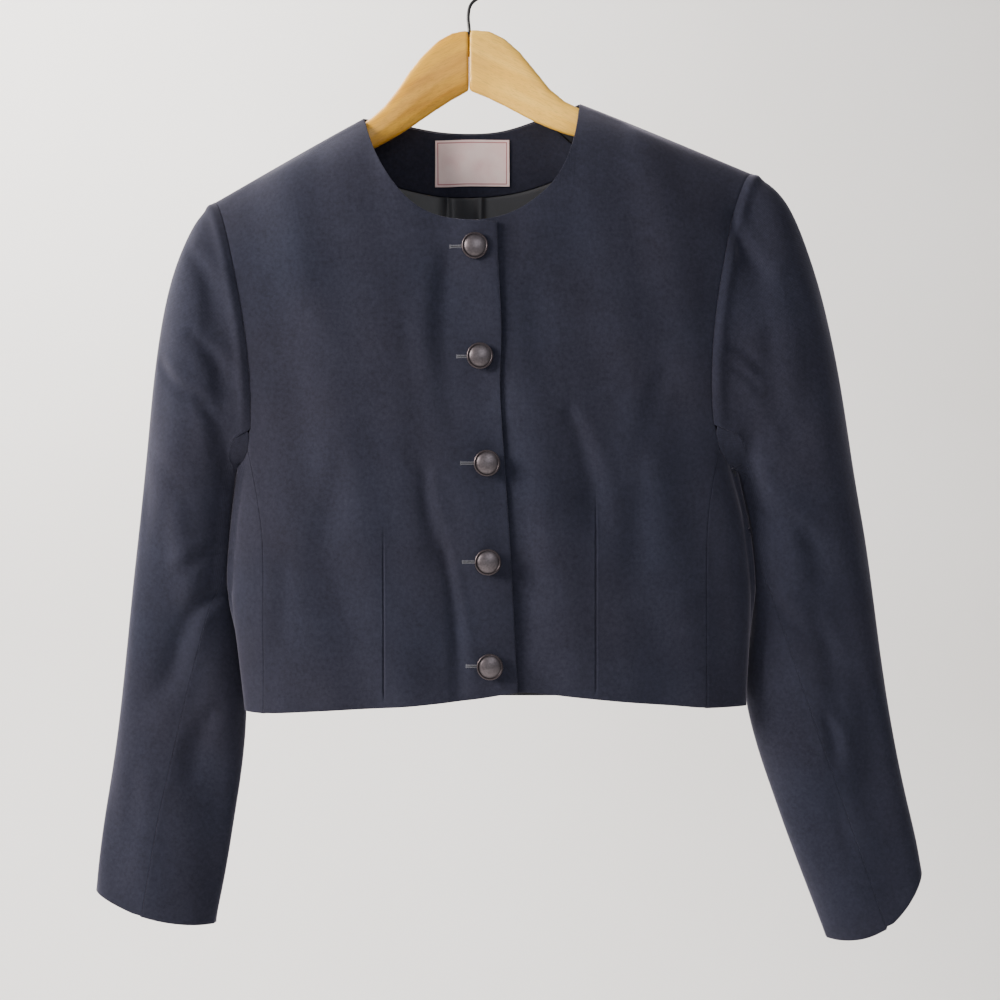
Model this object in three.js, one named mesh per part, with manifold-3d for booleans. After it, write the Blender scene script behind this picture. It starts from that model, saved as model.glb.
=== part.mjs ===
import * as THREE from 'three';
import { mergeVertices } from 'three/addons/utils/BufferGeometryUtils.js';
import Module from 'manifold-3d';

// Cropped collarless wool jacket, buttoned, hanging on a plain wooden hanger.
// Millimetres, +Z up. The front faces -Y and the wearer's left is +X.
// The origin is the inside top of the hook, where a rail carries it all.

const wasm = await Module();
wasm.setup();

// Cloth
const WALL = 2.2;
const THIN_WALL = 0.9;
const GAP = 0.3;
const LAP_GAP = 0.9;
const SLEEVE_GAP = 0.6;
const INNER_GAP = 2.4;
const LABEL_GAP = 0.5;
const ROUNDNESS = 2.4;

// The shoulder line is a hyperbola, a little higher on the wearer's left
const SHOULDER = { top: -78.9, tilt: 0.08, slope: 0.51, neckRound: 40 };
// From the shoulder line the cloth rolls over into the front and the back
const ROLL = { fall: 90, length: 108 };
// The middle of the cloth lies a little in front of the hook
const CLOTH_Y = -8;

// Side outline of the body, seen from the front, and its half depths
const BODY = [
  { z: -600, left: -174.5, right: 216, front: 35, back: 33 },
  { z: -546, left: -181, right: 219.5, front: 37, back: 34 },
  { z: -500, left: -187, right: 222, front: 39, back: 35 },
  { z: -450, left: -184, right: 217.5, front: 40, back: 36 },
  { z: -406, left: -180, right: 208, front: 41, back: 37 },
  { z: -352, left: -193, right: 217.5, front: 42, back: 38 },
  { z: -274, left: -205, right: 228.5, front: 42, back: 38 },
  { z: -170, left: -221, right: 243, front: 41, back: 37 },
  { z: -80, left: -230, right: 250, front: 40, back: 36 },
];

// Hem height across the front and across the back
const FRONT_HEM = [
  { x: -190, z: -596 }, { x: -105, z: -590.5 }, { x: -50, z: -587 }, { x: 10, z: -580.5 },
  { x: 38, z: -576 }, { x: 70, z: -578.5 }, { x: 115, z: -583 }, { x: 161, z: -587 }, { x: 225, z: -593.5 },
];
const BACK_HEM = [
  { x: -190, z: -596 }, { x: -100, z: -590 }, { x: 20, z: -586 }, { x: 130, z: -588 }, { x: 225, z: -593.5 },
];

// Neckline from the shoulder down to the front edge, on each front, and the back neckline
const NECK_RIGHT = [
  { x: -82, z: -132 }, { x: -78, z: -147 }, { x: -73, z: -160 }, { x: -64.5, z: -178 }, { x: -51, z: -197 },
  { x: -37, z: -210 }, { x: -22, z: -216 }, { x: 0, z: -218.5 }, { x: 21.9, z: -219.5 },
];
const NECK_LEFT = [
  { x: 86.6, z: -120.7 }, { x: 84.5, z: -138 }, { x: 81, z: -152 }, { x: 76, z: -170 }, { x: 67.5, z: -187 },
  { x: 54, z: -200 }, { x: 36, z: -212 }, { x: 14, z: -218 }, { x: -12, z: -219 },
];
const NECK_BACK = [
  { x: -82, z: -132 }, { x: -62, z: -131.5 }, { x: -43, z: -133.5 }, { x: -22, z: -136.5 }, { x: 2, z: -138 },
  { x: 28, z: -135.5 }, { x: 53, z: -128 }, { x: 70, z: -122.5 }, { x: 86.6, z: -120.7 },
];

// Front edges: the right front laps over, the left front runs on below it
const LAP_EDGE = [
  { z: -576, x: 37.8 }, { z: -520, x: 34.8 }, { z: -475, x: 32.5 },
  { z: -430, x: 29.5 }, { z: -384, x: 26.5 }, { z: -343, x: 24 },
  { z: -300, x: 25.5 }, { z: -264, x: 23.5 }, { z: -219.5, x: 21.9 },
];
const UNDER_LAP = 34;
const LAP_BLEND = { start: 2, length: 26 };

// The side seams are read at this height where they meet the hem
const HEM_LEVEL = -590;

// How the armhole bows towards the body: leaning up, and fading down the sleeve
const BOW = { lean: 0.3, fade: 0.5, underFade: 2.6 };
// Rows of the sleeve over which its head leaves the armhole's own line
const HEAD_ROWS = 2.5;
// Rows of the sleeve over which the cuff's dip grows, and how far it leans outward
const DIP_ROWS = 2.5;
const CUFF_LEAN = 0.4;

// Each side of the jacket. Heights and widths are those of the outside of the cloth.
// Sleeve rows: the outer and inner edge of a ring, its middle, half depths, and
// how far across the ring the front seam lies, counted from the inner edge.
// The edge of the cuff dips between its two corners.
const RIGHT_SIDE = {
  name: 'right',
  sign: -1,
  bow: 18.5,
  seam: [
    { z: -600, front: -158, back: -131 }, { z: -506, front: -157, back: -133 },
    { z: -453, front: -158, back: -140 }, { z: -420, front: -163.5, back: -153 },
    { z: -394, front: -169.1, back: -169.1 },
  ],
  sleeve: [
    { outX: -198, outZ: -197.7, inX: -180, inZ: -406, mid: 0, front: 28, back: 27, seam: 0.02 },
    { outX: -211, outZ: -207, inX: -182, inZ: -412, mid: 0, front: 28, back: 28, seam: 0.02 },
    { outX: -224, outZ: -230, inX: -183, inZ: -419, mid: 1, front: 30, back: 29, seam: 0.02 },
    { outX: -234.5, outZ: -261, inX: -184.5, inZ: -428, mid: 3, front: 31, back: 29, seam: 0.02 },
    { outX: -242, outZ: -297, inX: -185.5, inZ: -440, mid: 5, front: 32, back: 29, seam: 0.03 },
    { outX: -248, outZ: -340, inX: -186, inZ: -455, mid: 7, front: 31, back: 28, seam: 0.04 },
    { outX: -253, outZ: -391, inX: -185.5, inZ: -473, mid: 9, front: 30, back: 26, seam: 0.07 },
    { outX: -259, outZ: -445, inX: -185, inZ: -498, mid: 11, front: 27, back: 24, seam: 0.12 },
    { outX: -266, outZ: -501, inX: -181, inZ: -530, mid: 14, front: 23, back: 22, seam: 0.26 },
    { outX: -273, outZ: -564, inX: -175.5, inZ: -566, mid: 18, front: 19, back: 19, seam: 0.42 },
    { outX: -280, outZ: -627, inX: -176, inZ: -621, mid: 18, front: 19, back: 18, seam: 0.52 },
    { outX: -288, outZ: -676, inX: -184, inZ: -676, mid: 17, front: 19, back: 17, seam: 0.55 },
    { outX: -293, outZ: -716, inX: -191, inZ: -722, mid: 16, front: 18, back: 16, seam: 0.56 },
    { outX: -294.5, outZ: -737, inX: -199.5, inZ: -763, mid: 15, front: 17, back: 15, seam: 0.56 },
  ],
  cuffDip: 6,
};
const LEFT_SIDE = {
  name: 'left',
  sign: 1,
  bow: 26,
  seam: [
    { z: -600, front: 182.5, back: 166 }, { z: -506, front: 182, back: 168 },
    { z: -453, front: 182.5, back: 173 }, { z: -420, front: 186, back: 181 },
    { z: -391.5, front: 191.9, back: 191.9 },
  ],
  sleeve: [
    { outX: 220, outZ: -175.3, inX: 208, inZ: -406, mid: 0, front: 28, back: 27, seam: 0.02 },
    { outX: 236, outZ: -182, inX: 211.5, inZ: -412, mid: 0, front: 28, back: 28, seam: 0.02 },
    { outX: 251, outZ: -199, inX: 214.5, inZ: -420, mid: 1, front: 30, back: 29, seam: 0.02 },
    { outX: 263, outZ: -227, inX: 216.5, inZ: -430, mid: 3, front: 31, back: 29, seam: 0.02 },
    { outX: 274, outZ: -260, inX: 219, inZ: -442, mid: 5, front: 32, back: 29, seam: 0.03 },
    { outX: 283, outZ: -295, inX: 220.5, inZ: -456, mid: 7, front: 31, back: 28, seam: 0.04 },
    { outX: 293, outZ: -344, inX: 221, inZ: -477, mid: 9, front: 30, back: 26, seam: 0.07 },
    { outX: 303, outZ: -410, inX: 221, inZ: -500, mid: 11, front: 28, back: 24, seam: 0.12 },
    { outX: 314, outZ: -469, inX: 219, inZ: -532, mid: 13, front: 25, back: 23, seam: 0.22 },
    { outX: 323, outZ: -540, inX: 214.5, inZ: -571, mid: 14, front: 23, back: 22, seam: 0.36 },
    { outX: 333, outZ: -607, inX: 223, inZ: -615, mid: 14, front: 22, back: 21, seam: 0.44 },
    { outX: 344, outZ: -662, inX: 238, inZ: -660, mid: 13, front: 20, back: 19, seam: 0.48 },
    { outX: 352, outZ: -696, inX: 253, inZ: -703, mid: 12, front: 18, back: 17, seam: 0.5 },
    { outX: 356, outZ: -722, inX: 280, inZ: -773, mid: 11, front: 17, back: 15, seam: 0.5 },
  ],
  cuffDip: 16,
};

// Largest folds: a line on the cloth seen from the front, how deep and how wide
const FOLDS = [
  { x0: -32, z0: -410, x1: -19, z1: -470, depth: 2.6, width: 11 },
  { x0: -19, z0: -470, x1: -6, z1: -580, depth: 3, width: 10 },
  { x0: -14, z0: -250, x1: -12, z1: -370, depth: 2.4, width: 15 },
  { x0: 78, z0: -372, x1: 97, z1: -440, depth: 3, width: 13 },
  { x0: 97, z0: -440, x1: 96, z1: -580, depth: 1.4, width: 9 },
  { x0: -64, z0: -450, x1: -64, z1: -585, depth: 1.2, width: 9 },
  { x0: -218, z0: -236, x1: -194, z1: -290, depth: 2.6, width: 11 },
  { x0: -210, z0: -305, x1: -188, z1: -340, depth: 2.2, width: 10 },
  { x0: -191, z0: -502, x1: -222, z1: -530, depth: 3, width: 11 },
  { x0: 214, z0: -402, x1: 240, z1: -446, depth: 3, width: 12 },
  { x0: 205, z0: -214, x1: 222, z1: -250, depth: 2.4, width: 11 },
];

// Grid: angle steps round the armhole, rows below the underarm, and columns
const RING_STEPS = 24;
const UNDERARM_STEP = 10;
const FRONT_SEAM_STEP = 9;
const BACK_SEAM_STEP = 18;
const UNDERARM_GAP_STEP = 0.02;
const BODY_ROWS = 10;
const FRONT_COLUMNS = 14;
const BACK_COLUMNS = 25;
const SHOULDER_SHARE = 7 / 25;
const SIDE_COLUMNS = 8;
const SLEEVE_ROWS = 20;
// Rows of the sleeve over which its front seam leaves the armhole's own step
const SEAM_SETTLE = 3;
// A sleeve seam opens a little where it bends sharply under the armhole
const SEAM_EASE = { extra: 2.3, rows: 1.8 };
// Part of a step over which the direction across a sleeve seam is read
const SEAM_PROBE = 0.1;

// Back neck facing, lining pleats and label
const FACING = { width: 50, start: 30, edge: 0.6, columns: 14, rows: 3, from: 0.13, to: 0.84 };
// Directions in which the facing's width is laid off, in half turns, at the neckline's two ends
const FACING_TURN = { right: 0.16, left: 0.88 };
const LINING = { hem: 14, side: 8, rows: 9, columns: 8 };
const PLEATS = [{ x: -18 }, { x: 8 }];
const PLEAT = { depth: 3, width: 3.2, foot: 3, top: -190, fade: 260 };
const LABEL = { left: -28, right: 32, top: -142, bottom: -179, thick: 0.7, columns: 5, rows: 3 };

// Buttons on the front, by their centres
const BUTTONS = [
  { x: 5.3, z: -238.3 }, { x: 9.1, z: -321.2 }, { x: 14.4, z: -401.8 },
  { x: 15.1, z: -476.5 }, { x: 16.6, z: -555.6 },
];
const BUTTON_PROFILE = [
  { radius: 0, height: 0 }, { radius: 7, height: 0 }, { radius: 9.4, height: 1 },
  { radius: 10, height: 2.2 }, { radius: 9.5, height: 3.1 }, { radius: 8.6, height: 3 },
  { radius: 6, height: 3.9 }, { radius: 3, height: 4.5 }, { radius: 0, height: 4.7 },
];
const BUTTON_SIDES = 20;
const SHANK = { radius: 3, height: 1.6, sunk: 1, sides: 10 };

// Hanger: half outline of the wood, counted out from the middle, before its tilt
const WOOD = [
  { out: 0, top: -60, bottom: -109 }, { out: 12, top: -61, bottom: -115 },
  { out: 25, top: -67.3, bottom: -122.5 }, { out: 37, top: -78.5, bottom: -130 },
  { out: 48, top: -92, bottom: -137 }, { out: 58, top: -107, bottom: -142.5 },
  { out: 70, top: -120.5, bottom: -148.5 }, { out: 84, top: -130.5, bottom: -154.5 },
];
// The arms: section, sweep towards the front, and the seat of the cloth from its first station on
const ARM = { thick: 11.5, corner: 2.1, height: 24, endHeight: 17, endShrink: 0.55, short: 20 };
const ARM_SWEEP = { y: -8.5, length: 90 };
const ARM_SEAT = { gap: 1.1, overlap: 6 };
const ARM_GRID = { sides: 12, stations: 18, spacing: 0.9 };
// The wire hook: its straight foot in the wood, its bend, and the arc of its crook in degrees
const HOOK = { wire: 1.5, radius: 19.5, centreZ: -18, from: -50, to: 205, turn: 15, sides: 8, steps: 44 };
const HOOK_FOOT = [
  { x: 0, z: -82 }, { x: 0, z: -70 }, { x: 0, z: -59 },
  { x: -0.8, z: -51.5 }, { x: 0.8, z: -41.5 }, { x: 5, z: -37 },
];
const BORE = { radius: 1.85, length: 40, below: 0.4, sides: 12 };

// Value of one column of a table, smoothly between its rows
function column(rows, key, at, name) {
  const last = rows.length - 1;
  const rising = rows[last][key] > rows[0][key];
  let i = 0;
  while (i < last - 1 && (rising ? at > rows[i + 1][key] : at < rows[i + 1][key])) i += 1;
  const from = rows[i];
  const to = rows[i + 1];
  const span = to[key] - from[key];
  const t = THREE.MathUtils.clamp((at - from[key]) / span, 0, 1);
  const slope = (a, b) => (rows[b][name] - rows[a][name]) / (rows[b][key] - rows[a][key]);
  const startSlope = slope(Math.max(i - 1, 0), i + 1) * span;
  const endSlope = slope(i, Math.min(i + 2, last)) * span;
  const t2 = t * t;
  const t3 = t2 * t;
  return (2 * t3 - 3 * t2 + 1) * from[name] + (t3 - 2 * t2 + t) * startSlope
    + (3 * t2 - 2 * t3) * to[name] + (t3 - t2) * endSlope;
}

function ridge(x) {
  return SHOULDER.top + SHOULDER.tilt * x - SHOULDER.slope * Math.hypot(x, SHOULDER.neckRound);
}

// Distance over the cloth from the shoulder line down to a height
function clothLength(x, z) {
  const fall = ridge(x) - z;
  if (fall >= ROLL.fall) return ROLL.length + fall - ROLL.fall;
  return ROLL.length * Math.acos(1 - Math.max(fall, 0) / ROLL.fall) / (Math.PI / 2);
}

function bodySpan(z) {
  const left = column(BODY, 'z', z, 'left');
  const right = column(BODY, 'z', z, 'right');
  return { middle: (left + right) / 2, half: (right - left) / 2 };
}

// Body of the jacket at a width x and a length w over the cloth, w > 0 on the front
function bodyShape(x, w) {
  const length = Math.abs(w);
  const angle = Math.min(length / ROLL.length, 1) * Math.PI / 2;
  const z = ridge(x) - ROLL.fall * (1 - Math.cos(angle)) - Math.max(length - ROLL.length, 0);
  const span = bodySpan(z);
  const across = THREE.MathUtils.clamp(Math.abs(x - span.middle) / span.half, 0, 1);
  const bulge = Math.sin(angle) * (1 - across ** ROUNDNESS) ** (1 / ROUNDNESS);
  const depth = column(BODY, 'z', z, w > 0 ? 'front' : 'back');
  return new THREE.Vector3(x, -Math.sign(w) * depth * bulge, z);
}

// Side of the body at an angle round the section: 0 is front, 90 degrees the side edge
function sideShape(side, angle, z) {
  const span = bodySpan(z);
  const across = Math.sin(angle) ** (2 / ROUNDNESS);
  const out = Math.abs(Math.cos(angle)) ** (2 / ROUNDNESS);
  const depth = column(BODY, 'z', z, Math.cos(angle) > 0 ? 'front' : 'back');
  const x = span.middle + side.sign * span.half * across;
  return new THREE.Vector3(x, -Math.sign(Math.cos(angle)) * depth * out, z);
}

// How deep the folds press a point of the front in
function foldDepth(point) {
  let sum = 0;
  for (const fold of FOLDS) {
    const start = new THREE.Vector3(fold.x0, 0, fold.z0);
    const line = new THREE.Line3(start, new THREE.Vector3(fold.x1, 0, fold.z1));
    const flat = new THREE.Vector3(point.x, 0, point.z);
    const nearest = line.closestPointToPoint(flat, true, new THREE.Vector3());
    sum += fold.depth * Math.exp(-((nearest.distanceTo(flat) / fold.width) ** 2));
  }
  return sum;
}

// A point of a smooth shape with its inward direction, and the folds pressed in
function cloth(shape, a, b, flip) {
  const stepA = 1e-3 * Math.max(Math.abs(a), 1);
  const stepB = 1e-3 * Math.max(Math.abs(b), 1);
  const point = shape(a, b);
  const alongA = shape(a + stepA, b).sub(shape(a - stepA, b));
  const alongB = shape(a, b + stepB).sub(shape(a, b - stepB));
  const inward = alongA.cross(alongB).normalize().multiplyScalar(flip);
  const facing = Math.max(inward.y, 0);
  point.addScaledVector(inward, foldDepth(point) * facing);
  return { point, inward };
}

const onBody = (x, w) => cloth(bodyShape, x, w, 1);
const onSide = (side, angle, z) => cloth((a, b) => sideShape(side, a, b), angle, z, -side.sign);

// The armhole, a closed curve: step 0 at the shoulder, 6 in front, 12 under the arm, 18 behind
function armholeCorner(side, step) {
  const angle = step * 2 * Math.PI / RING_STEPS;
  const ring = side.sleeve[0];
  const down = (1 - Math.cos(angle)) / 2;
  const sine = Math.abs(Math.sin(angle));
  const x = THREE.MathUtils.lerp(ring.outX, ring.inX, down)
    - side.sign * side.bow * sine * (1 - BOW.lean * Math.cos(angle));
  const z = THREE.MathUtils.lerp(ring.outZ, ring.inZ, down);
  const front = Math.sin(angle) >= 0 ? 1 : -1;
  if (sine < 1e-6) return new THREE.Vector3(x, 0, z);
  return onBody(x, front * clothLength(x, z)).point;
}

function armhole(side, step) {
  const whole = Math.floor(step + 1e-9);
  const at = (s) => armholeCorner(side, ((s % RING_STEPS) + RING_STEPS) % RING_STEPS);
  const point = at(whole).lerp(at(whole + 1), step - whole);
  const before = at(Math.round(step) - 1);
  const after = at(Math.round(step) + 1);
  const inward = new THREE.Vector3(0, before.z - after.z, after.y - before.y).normalize();
  return { point, inward };
}

// Ring surface of a sleeve: the step round it and the row down it, 0 at the armhole
function sleeveShape(side, step, row) {
  const rows = side.sleeve.map((ring, index) => ({ ...ring, index }));
  const value = (name) => column(rows, 'index', THREE.MathUtils.clamp(row, 0, rows.length - 1), name);
  const angle = step * 2 * Math.PI / RING_STEPS;
  const cosine = Math.cos(angle);
  const sine = Math.sin(angle);
  const down = (1 - cosine) / 2;
  const fade = Math.exp(-row * (BOW.fade + BOW.underFade * down * down));
  const bow = side.bow * fade * Math.abs(sine) * (1 - BOW.lean * cosine);
  const dip = side.cuffDip * sine * sine * Math.max(row - rows.length + 1 + DIP_ROWS, 0) / DIP_ROWS;
  const outward = side.sign * (dip * CUFF_LEAN - bow);
  return new THREE.Vector3(
    (value('outX') + value('inX')) / 2 + cosine * (value('outX') - value('inX')) / 2 + outward,
    value('mid') - sine * value(sine > 0 ? 'front' : 'back'),
    (value('outZ') + value('inZ')) / 2 - dip + cosine * (value('outZ') - value('inZ')) / 2,
  );
}

function onSleeve(side, step, row) {
  if (row <= 0) {
    const seam = armhole(side, step);
    seam.point.x += side.sign * SLEEVE_GAP;
    return seam;
  }
  const own = cloth((a, b) => sleeveShape(side, a, b), step, row, -side.sign);
  const blend = THREE.MathUtils.smoothstep(row, 0, HEAD_ROWS);
  const seam = armhole(side, step);
  const ring = side.sleeve[0];
  const sine = Math.sin(step * 2 * Math.PI / RING_STEPS);
  const flatY = -sine * (sine > 0 ? ring.front : ring.back);
  own.point.y += (1 - blend) * (seam.point.y - flatY);
  own.inward.lerp(seam.inward, 0.5 * (1 - blend)).normalize();
  return own;
}

// Closed wall over a grid of points that each know their inward direction
function wallMesh(name, grid, thick, material) {
  const columns = grid.length;
  const rows = grid[0].length;
  const positions = [];
  for (const layer of [0, thick]) {
    for (const line of grid) {
      for (const { point, inward } of line) {
        positions.push(...point.clone().addScaledVector(inward, layer).toArray());
      }
    }
  }
  const outer = (i, j) => i * rows + j;
  const inner = (i, j) => columns * rows + i * rows + j;
  const index = [];
  const quad = (a, b, c, d) => index.push(a, b, c, a, c, d);
  for (let i = 0; i < columns - 1; i += 1) {
    for (let j = 0; j < rows - 1; j += 1) {
      quad(outer(i, j), outer(i + 1, j), outer(i + 1, j + 1), outer(i, j + 1));
      quad(inner(i, j), inner(i, j + 1), inner(i + 1, j + 1), inner(i + 1, j));
    }
    quad(outer(i + 1, 0), outer(i, 0), inner(i, 0), inner(i + 1, 0));
    quad(outer(i, rows - 1), outer(i + 1, rows - 1), inner(i + 1, rows - 1), inner(i, rows - 1));
  }
  for (let j = 0; j < rows - 1; j += 1) {
    quad(outer(0, j), outer(0, j + 1), inner(0, j + 1), inner(0, j));
    quad(outer(columns - 1, j + 1), outer(columns - 1, j), inner(columns - 1, j), inner(columns - 1, j + 1));
  }
  return solidMesh(name, positions, index, material);
}

// Mesh whose faces are turned outward by the sign of its volume
function solidMesh(name, positions, index, material) {
  const corner = (k) => new THREE.Vector3().fromArray(positions, 3 * index[k]);
  let volume = 0;
  for (let k = 0; k < index.length; k += 3) volume += corner(k).dot(corner(k + 1).cross(corner(k + 2)));
  const faces = volume > 0 ? index : index.toReversed();
  const geometry = new THREE.BufferGeometry();
  geometry.setAttribute('position', new THREE.Float32BufferAttribute(positions, 3));
  geometry.setIndex(faces);
  const mesh = new THREE.Mesh(geometry, material);
  mesh.name = name;
  return mesh;
}

// Patch between four edges given in the same flat coordinates
function patch(edges, u, v) {
  const { low, high, first, last } = edges;
  const blend = (axis) => {
    const across = (1 - v) * low(u)[axis] + v * high(u)[axis] + (1 - u) * first(v)[axis] + u * last(v)[axis];
    const corners = (1 - u) * (1 - v) * low(0)[axis] + u * (1 - v) * low(1)[axis]
      + (1 - u) * v * high(0)[axis] + u * v * high(1)[axis];
    return across - corners;
  };
  return [blend(0), blend(1)];
}

// Smooth line through a table of x and z, walked from 0 to 1
function outline(rows) {
  const points = rows.map((row) => new THREE.Vector3(row.x, 0, row.z));
  const curve = new THREE.CatmullRomCurve3(points, false, 'centripetal');
  return (t) => curve.getPointAt(THREE.MathUtils.clamp(t, 0, 1));
}

const toCloth = (x, z) => [x, clothLength(x, z)];

// Step round the armhole of the upper half of a body panel's side
function panelStep(v) {
  return UNDERARM_STEP * (2 - 2 * v);
}

// Side of a body panel: the seam from the hem to the underarm, then the armhole
function panelSide(side, face, inset, lift = 0) {
  const last = side.seam.length - 1;
  const top = side.seam[last].z;
  const hem = face === 'front' ? FRONT_HEM : BACK_HEM;
  const bottom = column(hem, 'x', column(side.seam, 'z', HEM_LEVEL, face), 'z') + lift;
  return (v) => {
    if (v < 0.5) {
      const z = THREE.MathUtils.lerp(bottom, top, v * 2);
      return toCloth(column(side.seam, 'z', z, face) - side.sign * inset, z);
    }
    const step = panelStep(v) - (v === 0.5 ? UNDERARM_GAP_STEP : 0);
    const { point } = armhole(side, face === 'front' ? step : RING_STEPS - step);
    return toCloth(point.x - side.sign * (inset - GAP / 2), point.z);
  };
}

function frontPanel(side, neck, edgeX, push, name, material) {
  const seamSide = panelSide(side, 'front', GAP / 2);
  const neckCurve = outline(neck);
  const shoulderX = side.sleeve[0].outX;
  const neckX = neck[0].x;
  const hemAt = (x) => column(FRONT_HEM, 'x', x, 'z');
  const seamX = (z) => column(side.seam, 'z', z, 'front');
  const hemStart = seamX(hemAt(seamX(HEM_LEVEL))) - side.sign * GAP / 2;
  const hemEnd = edgeX(LAP_EDGE[0].z);
  const neckEnd = neckCurve(1);
  const edges = {
    low: (u) => {
      const x = THREE.MathUtils.lerp(hemStart, hemEnd, u);
      return toCloth(x, hemAt(x));
    },
    high: (u) => {
      if (u < 0.5) return [THREE.MathUtils.lerp(shoulderX, neckX, u * 2), GAP / 2];
      const { x, z } = neckCurve(u * 2 - 1);
      return [x, Math.max(clothLength(x, z), GAP / 2)];
    },
    first: seamSide,
    last: (v) => {
      const z = THREE.MathUtils.lerp(hemAt(hemEnd), neckEnd.z, v);
      return toCloth(edgeX(z), z);
    },
  };
  const rows = BODY_ROWS + UNDERARM_STEP;
  const grid = [];
  for (let i = 0; i <= FRONT_COLUMNS; i += 1) {
    const line = [];
    for (let j = 0; j <= rows; j += 1) {
      const v = j / rows;
      if (i === 0 && j >= BODY_ROWS) {
        const seam = armhole(side, panelStep(v) - (j === BODY_ROWS ? UNDERARM_GAP_STEP : 0));
        if (j === rows) seam.point.y -= GAP / 2;
        line.push(seam);
        continue;
      }
      const [x, w] = patch(edges, i / FRONT_COLUMNS, v);
      const spot = onBody(x, w);
      spot.point.addScaledVector(spot.inward, push(spot.point));
      line.push(spot);
    }
    grid.push(line);
  }
  return wallMesh(name, grid, WALL, material);
}

const lapX = (z) => column(LAP_EDGE, 'z', z, 'x');

function frontRight(material) {
  return frontPanel(RIGHT_SIDE, NECK_RIGHT, lapX, () => 0, 'front_right', material);
}

// The left front drops below the right one where they lap
function frontLeft(material) {
  const under = (z) => lapX(z) - UNDER_LAP;
  const push = (point) => {
    const beyond = point.x - lapX(point.z) - LAP_BLEND.start;
    return (WALL + LAP_GAP) * (1 - THREE.MathUtils.smoothstep(beyond, 0, LAP_BLEND.length));
  };
  return frontPanel(LEFT_SIDE, NECK_LEFT, under, push, 'front_left', material);
}

// Edges of the back, or of its lining when a wider neck and an inset are given
function backEdges(neck, inset, hemLift, shoulderStart) {
  const belowShoulder = (line) => (v) => {
    const [x, w] = line(v);
    return [x, Math.max(w, shoulderStart)];
  };
  const left = belowShoulder(panelSide(RIGHT_SIDE, 'back', inset, hemLift));
  const right = belowShoulder(panelSide(LEFT_SIDE, 'back', inset, hemLift));
  const share = SHOULDER_SHARE;
  const startX = left(0)[0];
  const endX = right(0)[0];
  return {
    low: (u) => {
      const x = THREE.MathUtils.lerp(startX, endX, u);
      return toCloth(x, column(BACK_HEM, 'x', x, 'z') + hemLift);
    },
    high: (u) => {
      const shoulderX = (line, end, t) => THREE.MathUtils.lerp(line(1)[0], neck(end).x, t);
      if (u < share) return [shoulderX(left, 0, u / share), shoulderStart];
      if (u > 1 - share) return [shoulderX(right, 1, (1 - u) / share), shoulderStart];
      const { x, z } = neck((u - share) / (1 - 2 * share));
      return [x, Math.max(clothLength(x, z), shoulderStart)];
    },
    first: left,
    last: right,
  };
}

function backPanel(material) {
  const edges = backEdges(outline(NECK_BACK), GAP / 2, 0, GAP / 2);
  const rows = BODY_ROWS + UNDERARM_STEP;
  const grid = [];
  for (let i = 0; i <= BACK_COLUMNS; i += 1) {
    const line = [];
    const side = i === 0 ? RIGHT_SIDE : LEFT_SIDE;
    for (let j = 0; j <= rows; j += 1) {
      const v = j / rows;
      if ((i === 0 || i === BACK_COLUMNS) && j >= BODY_ROWS) {
        const gapStep = j === BODY_ROWS ? UNDERARM_GAP_STEP : 0;
        const seam = armhole(side, RING_STEPS - panelStep(v) + gapStep);
        if (j === rows) seam.point.y += GAP / 2;
        line.push(seam);
        continue;
      }
      const [x, w] = patch(edges, i / BACK_COLUMNS, v);
      line.push(onBody(x, -w));
    }
    grid.push(line);
  }
  return wallMesh('back', grid, WALL, material);
}

// Angle round the body section of a width x on the front or the back
function sideAngle(side, x, z, face) {
  const span = bodySpan(z);
  const across = THREE.MathUtils.clamp(Math.abs(x - span.middle) / span.half, 0, 1);
  const angle = Math.asin(across ** (ROUNDNESS / 2));
  return face === 'front' ? angle : Math.PI - angle;
}

function sidePanel(side, material) {
  const top = side.seam[side.seam.length - 1].z;
  const hemZ = (face, hem) => column(hem, 'x', column(side.seam, 'z', HEM_LEVEL, face), 'z');
  const frontHem = hemZ('front', FRONT_HEM);
  const backHem = hemZ('back', BACK_HEM);
  const seamAt = (face, z) => {
    const x = column(side.seam, 'z', z, face) + side.sign * GAP / 2;
    return [sideAngle(side, x, z, face), z];
  };
  const underarmStart = UNDERARM_STEP + UNDERARM_GAP_STEP;
  const underarm = (u) => armhole(side, THREE.MathUtils.lerp(underarmStart, RING_STEPS - underarmStart, u));
  const first = (v) => seamAt('front', THREE.MathUtils.lerp(frontHem, top, v));
  const last = (v) => seamAt('back', THREE.MathUtils.lerp(backHem, top, v));
  const edges = {
    low: (u) => {
      const angle = THREE.MathUtils.lerp(first(0)[0], last(0)[0], u);
      return [angle, THREE.MathUtils.lerp(frontHem, backHem, u)];
    },
    high: (u) => {
      const { point } = underarm(u);
      const angle = sideAngle(side, point.x, point.z, point.y < 0 ? 'front' : 'back');
      return [angle, point.z];
    },
    first,
    last,
  };
  const grid = [];
  for (let i = 0; i <= SIDE_COLUMNS; i += 1) {
    const line = [];
    for (let j = 0; j <= BODY_ROWS; j += 1) {
      if (j === BODY_ROWS) {
        line.push(underarm(i / SIDE_COLUMNS));
        continue;
      }
      const [angle, z] = patch(edges, i / SIDE_COLUMNS, j / BODY_ROWS);
      line.push(onSide(side, angle, z));
    }
    grid.push(line);
  }
  return wallMesh(`side_panel_${side.name}`, grid, WALL, material);
}

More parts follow.
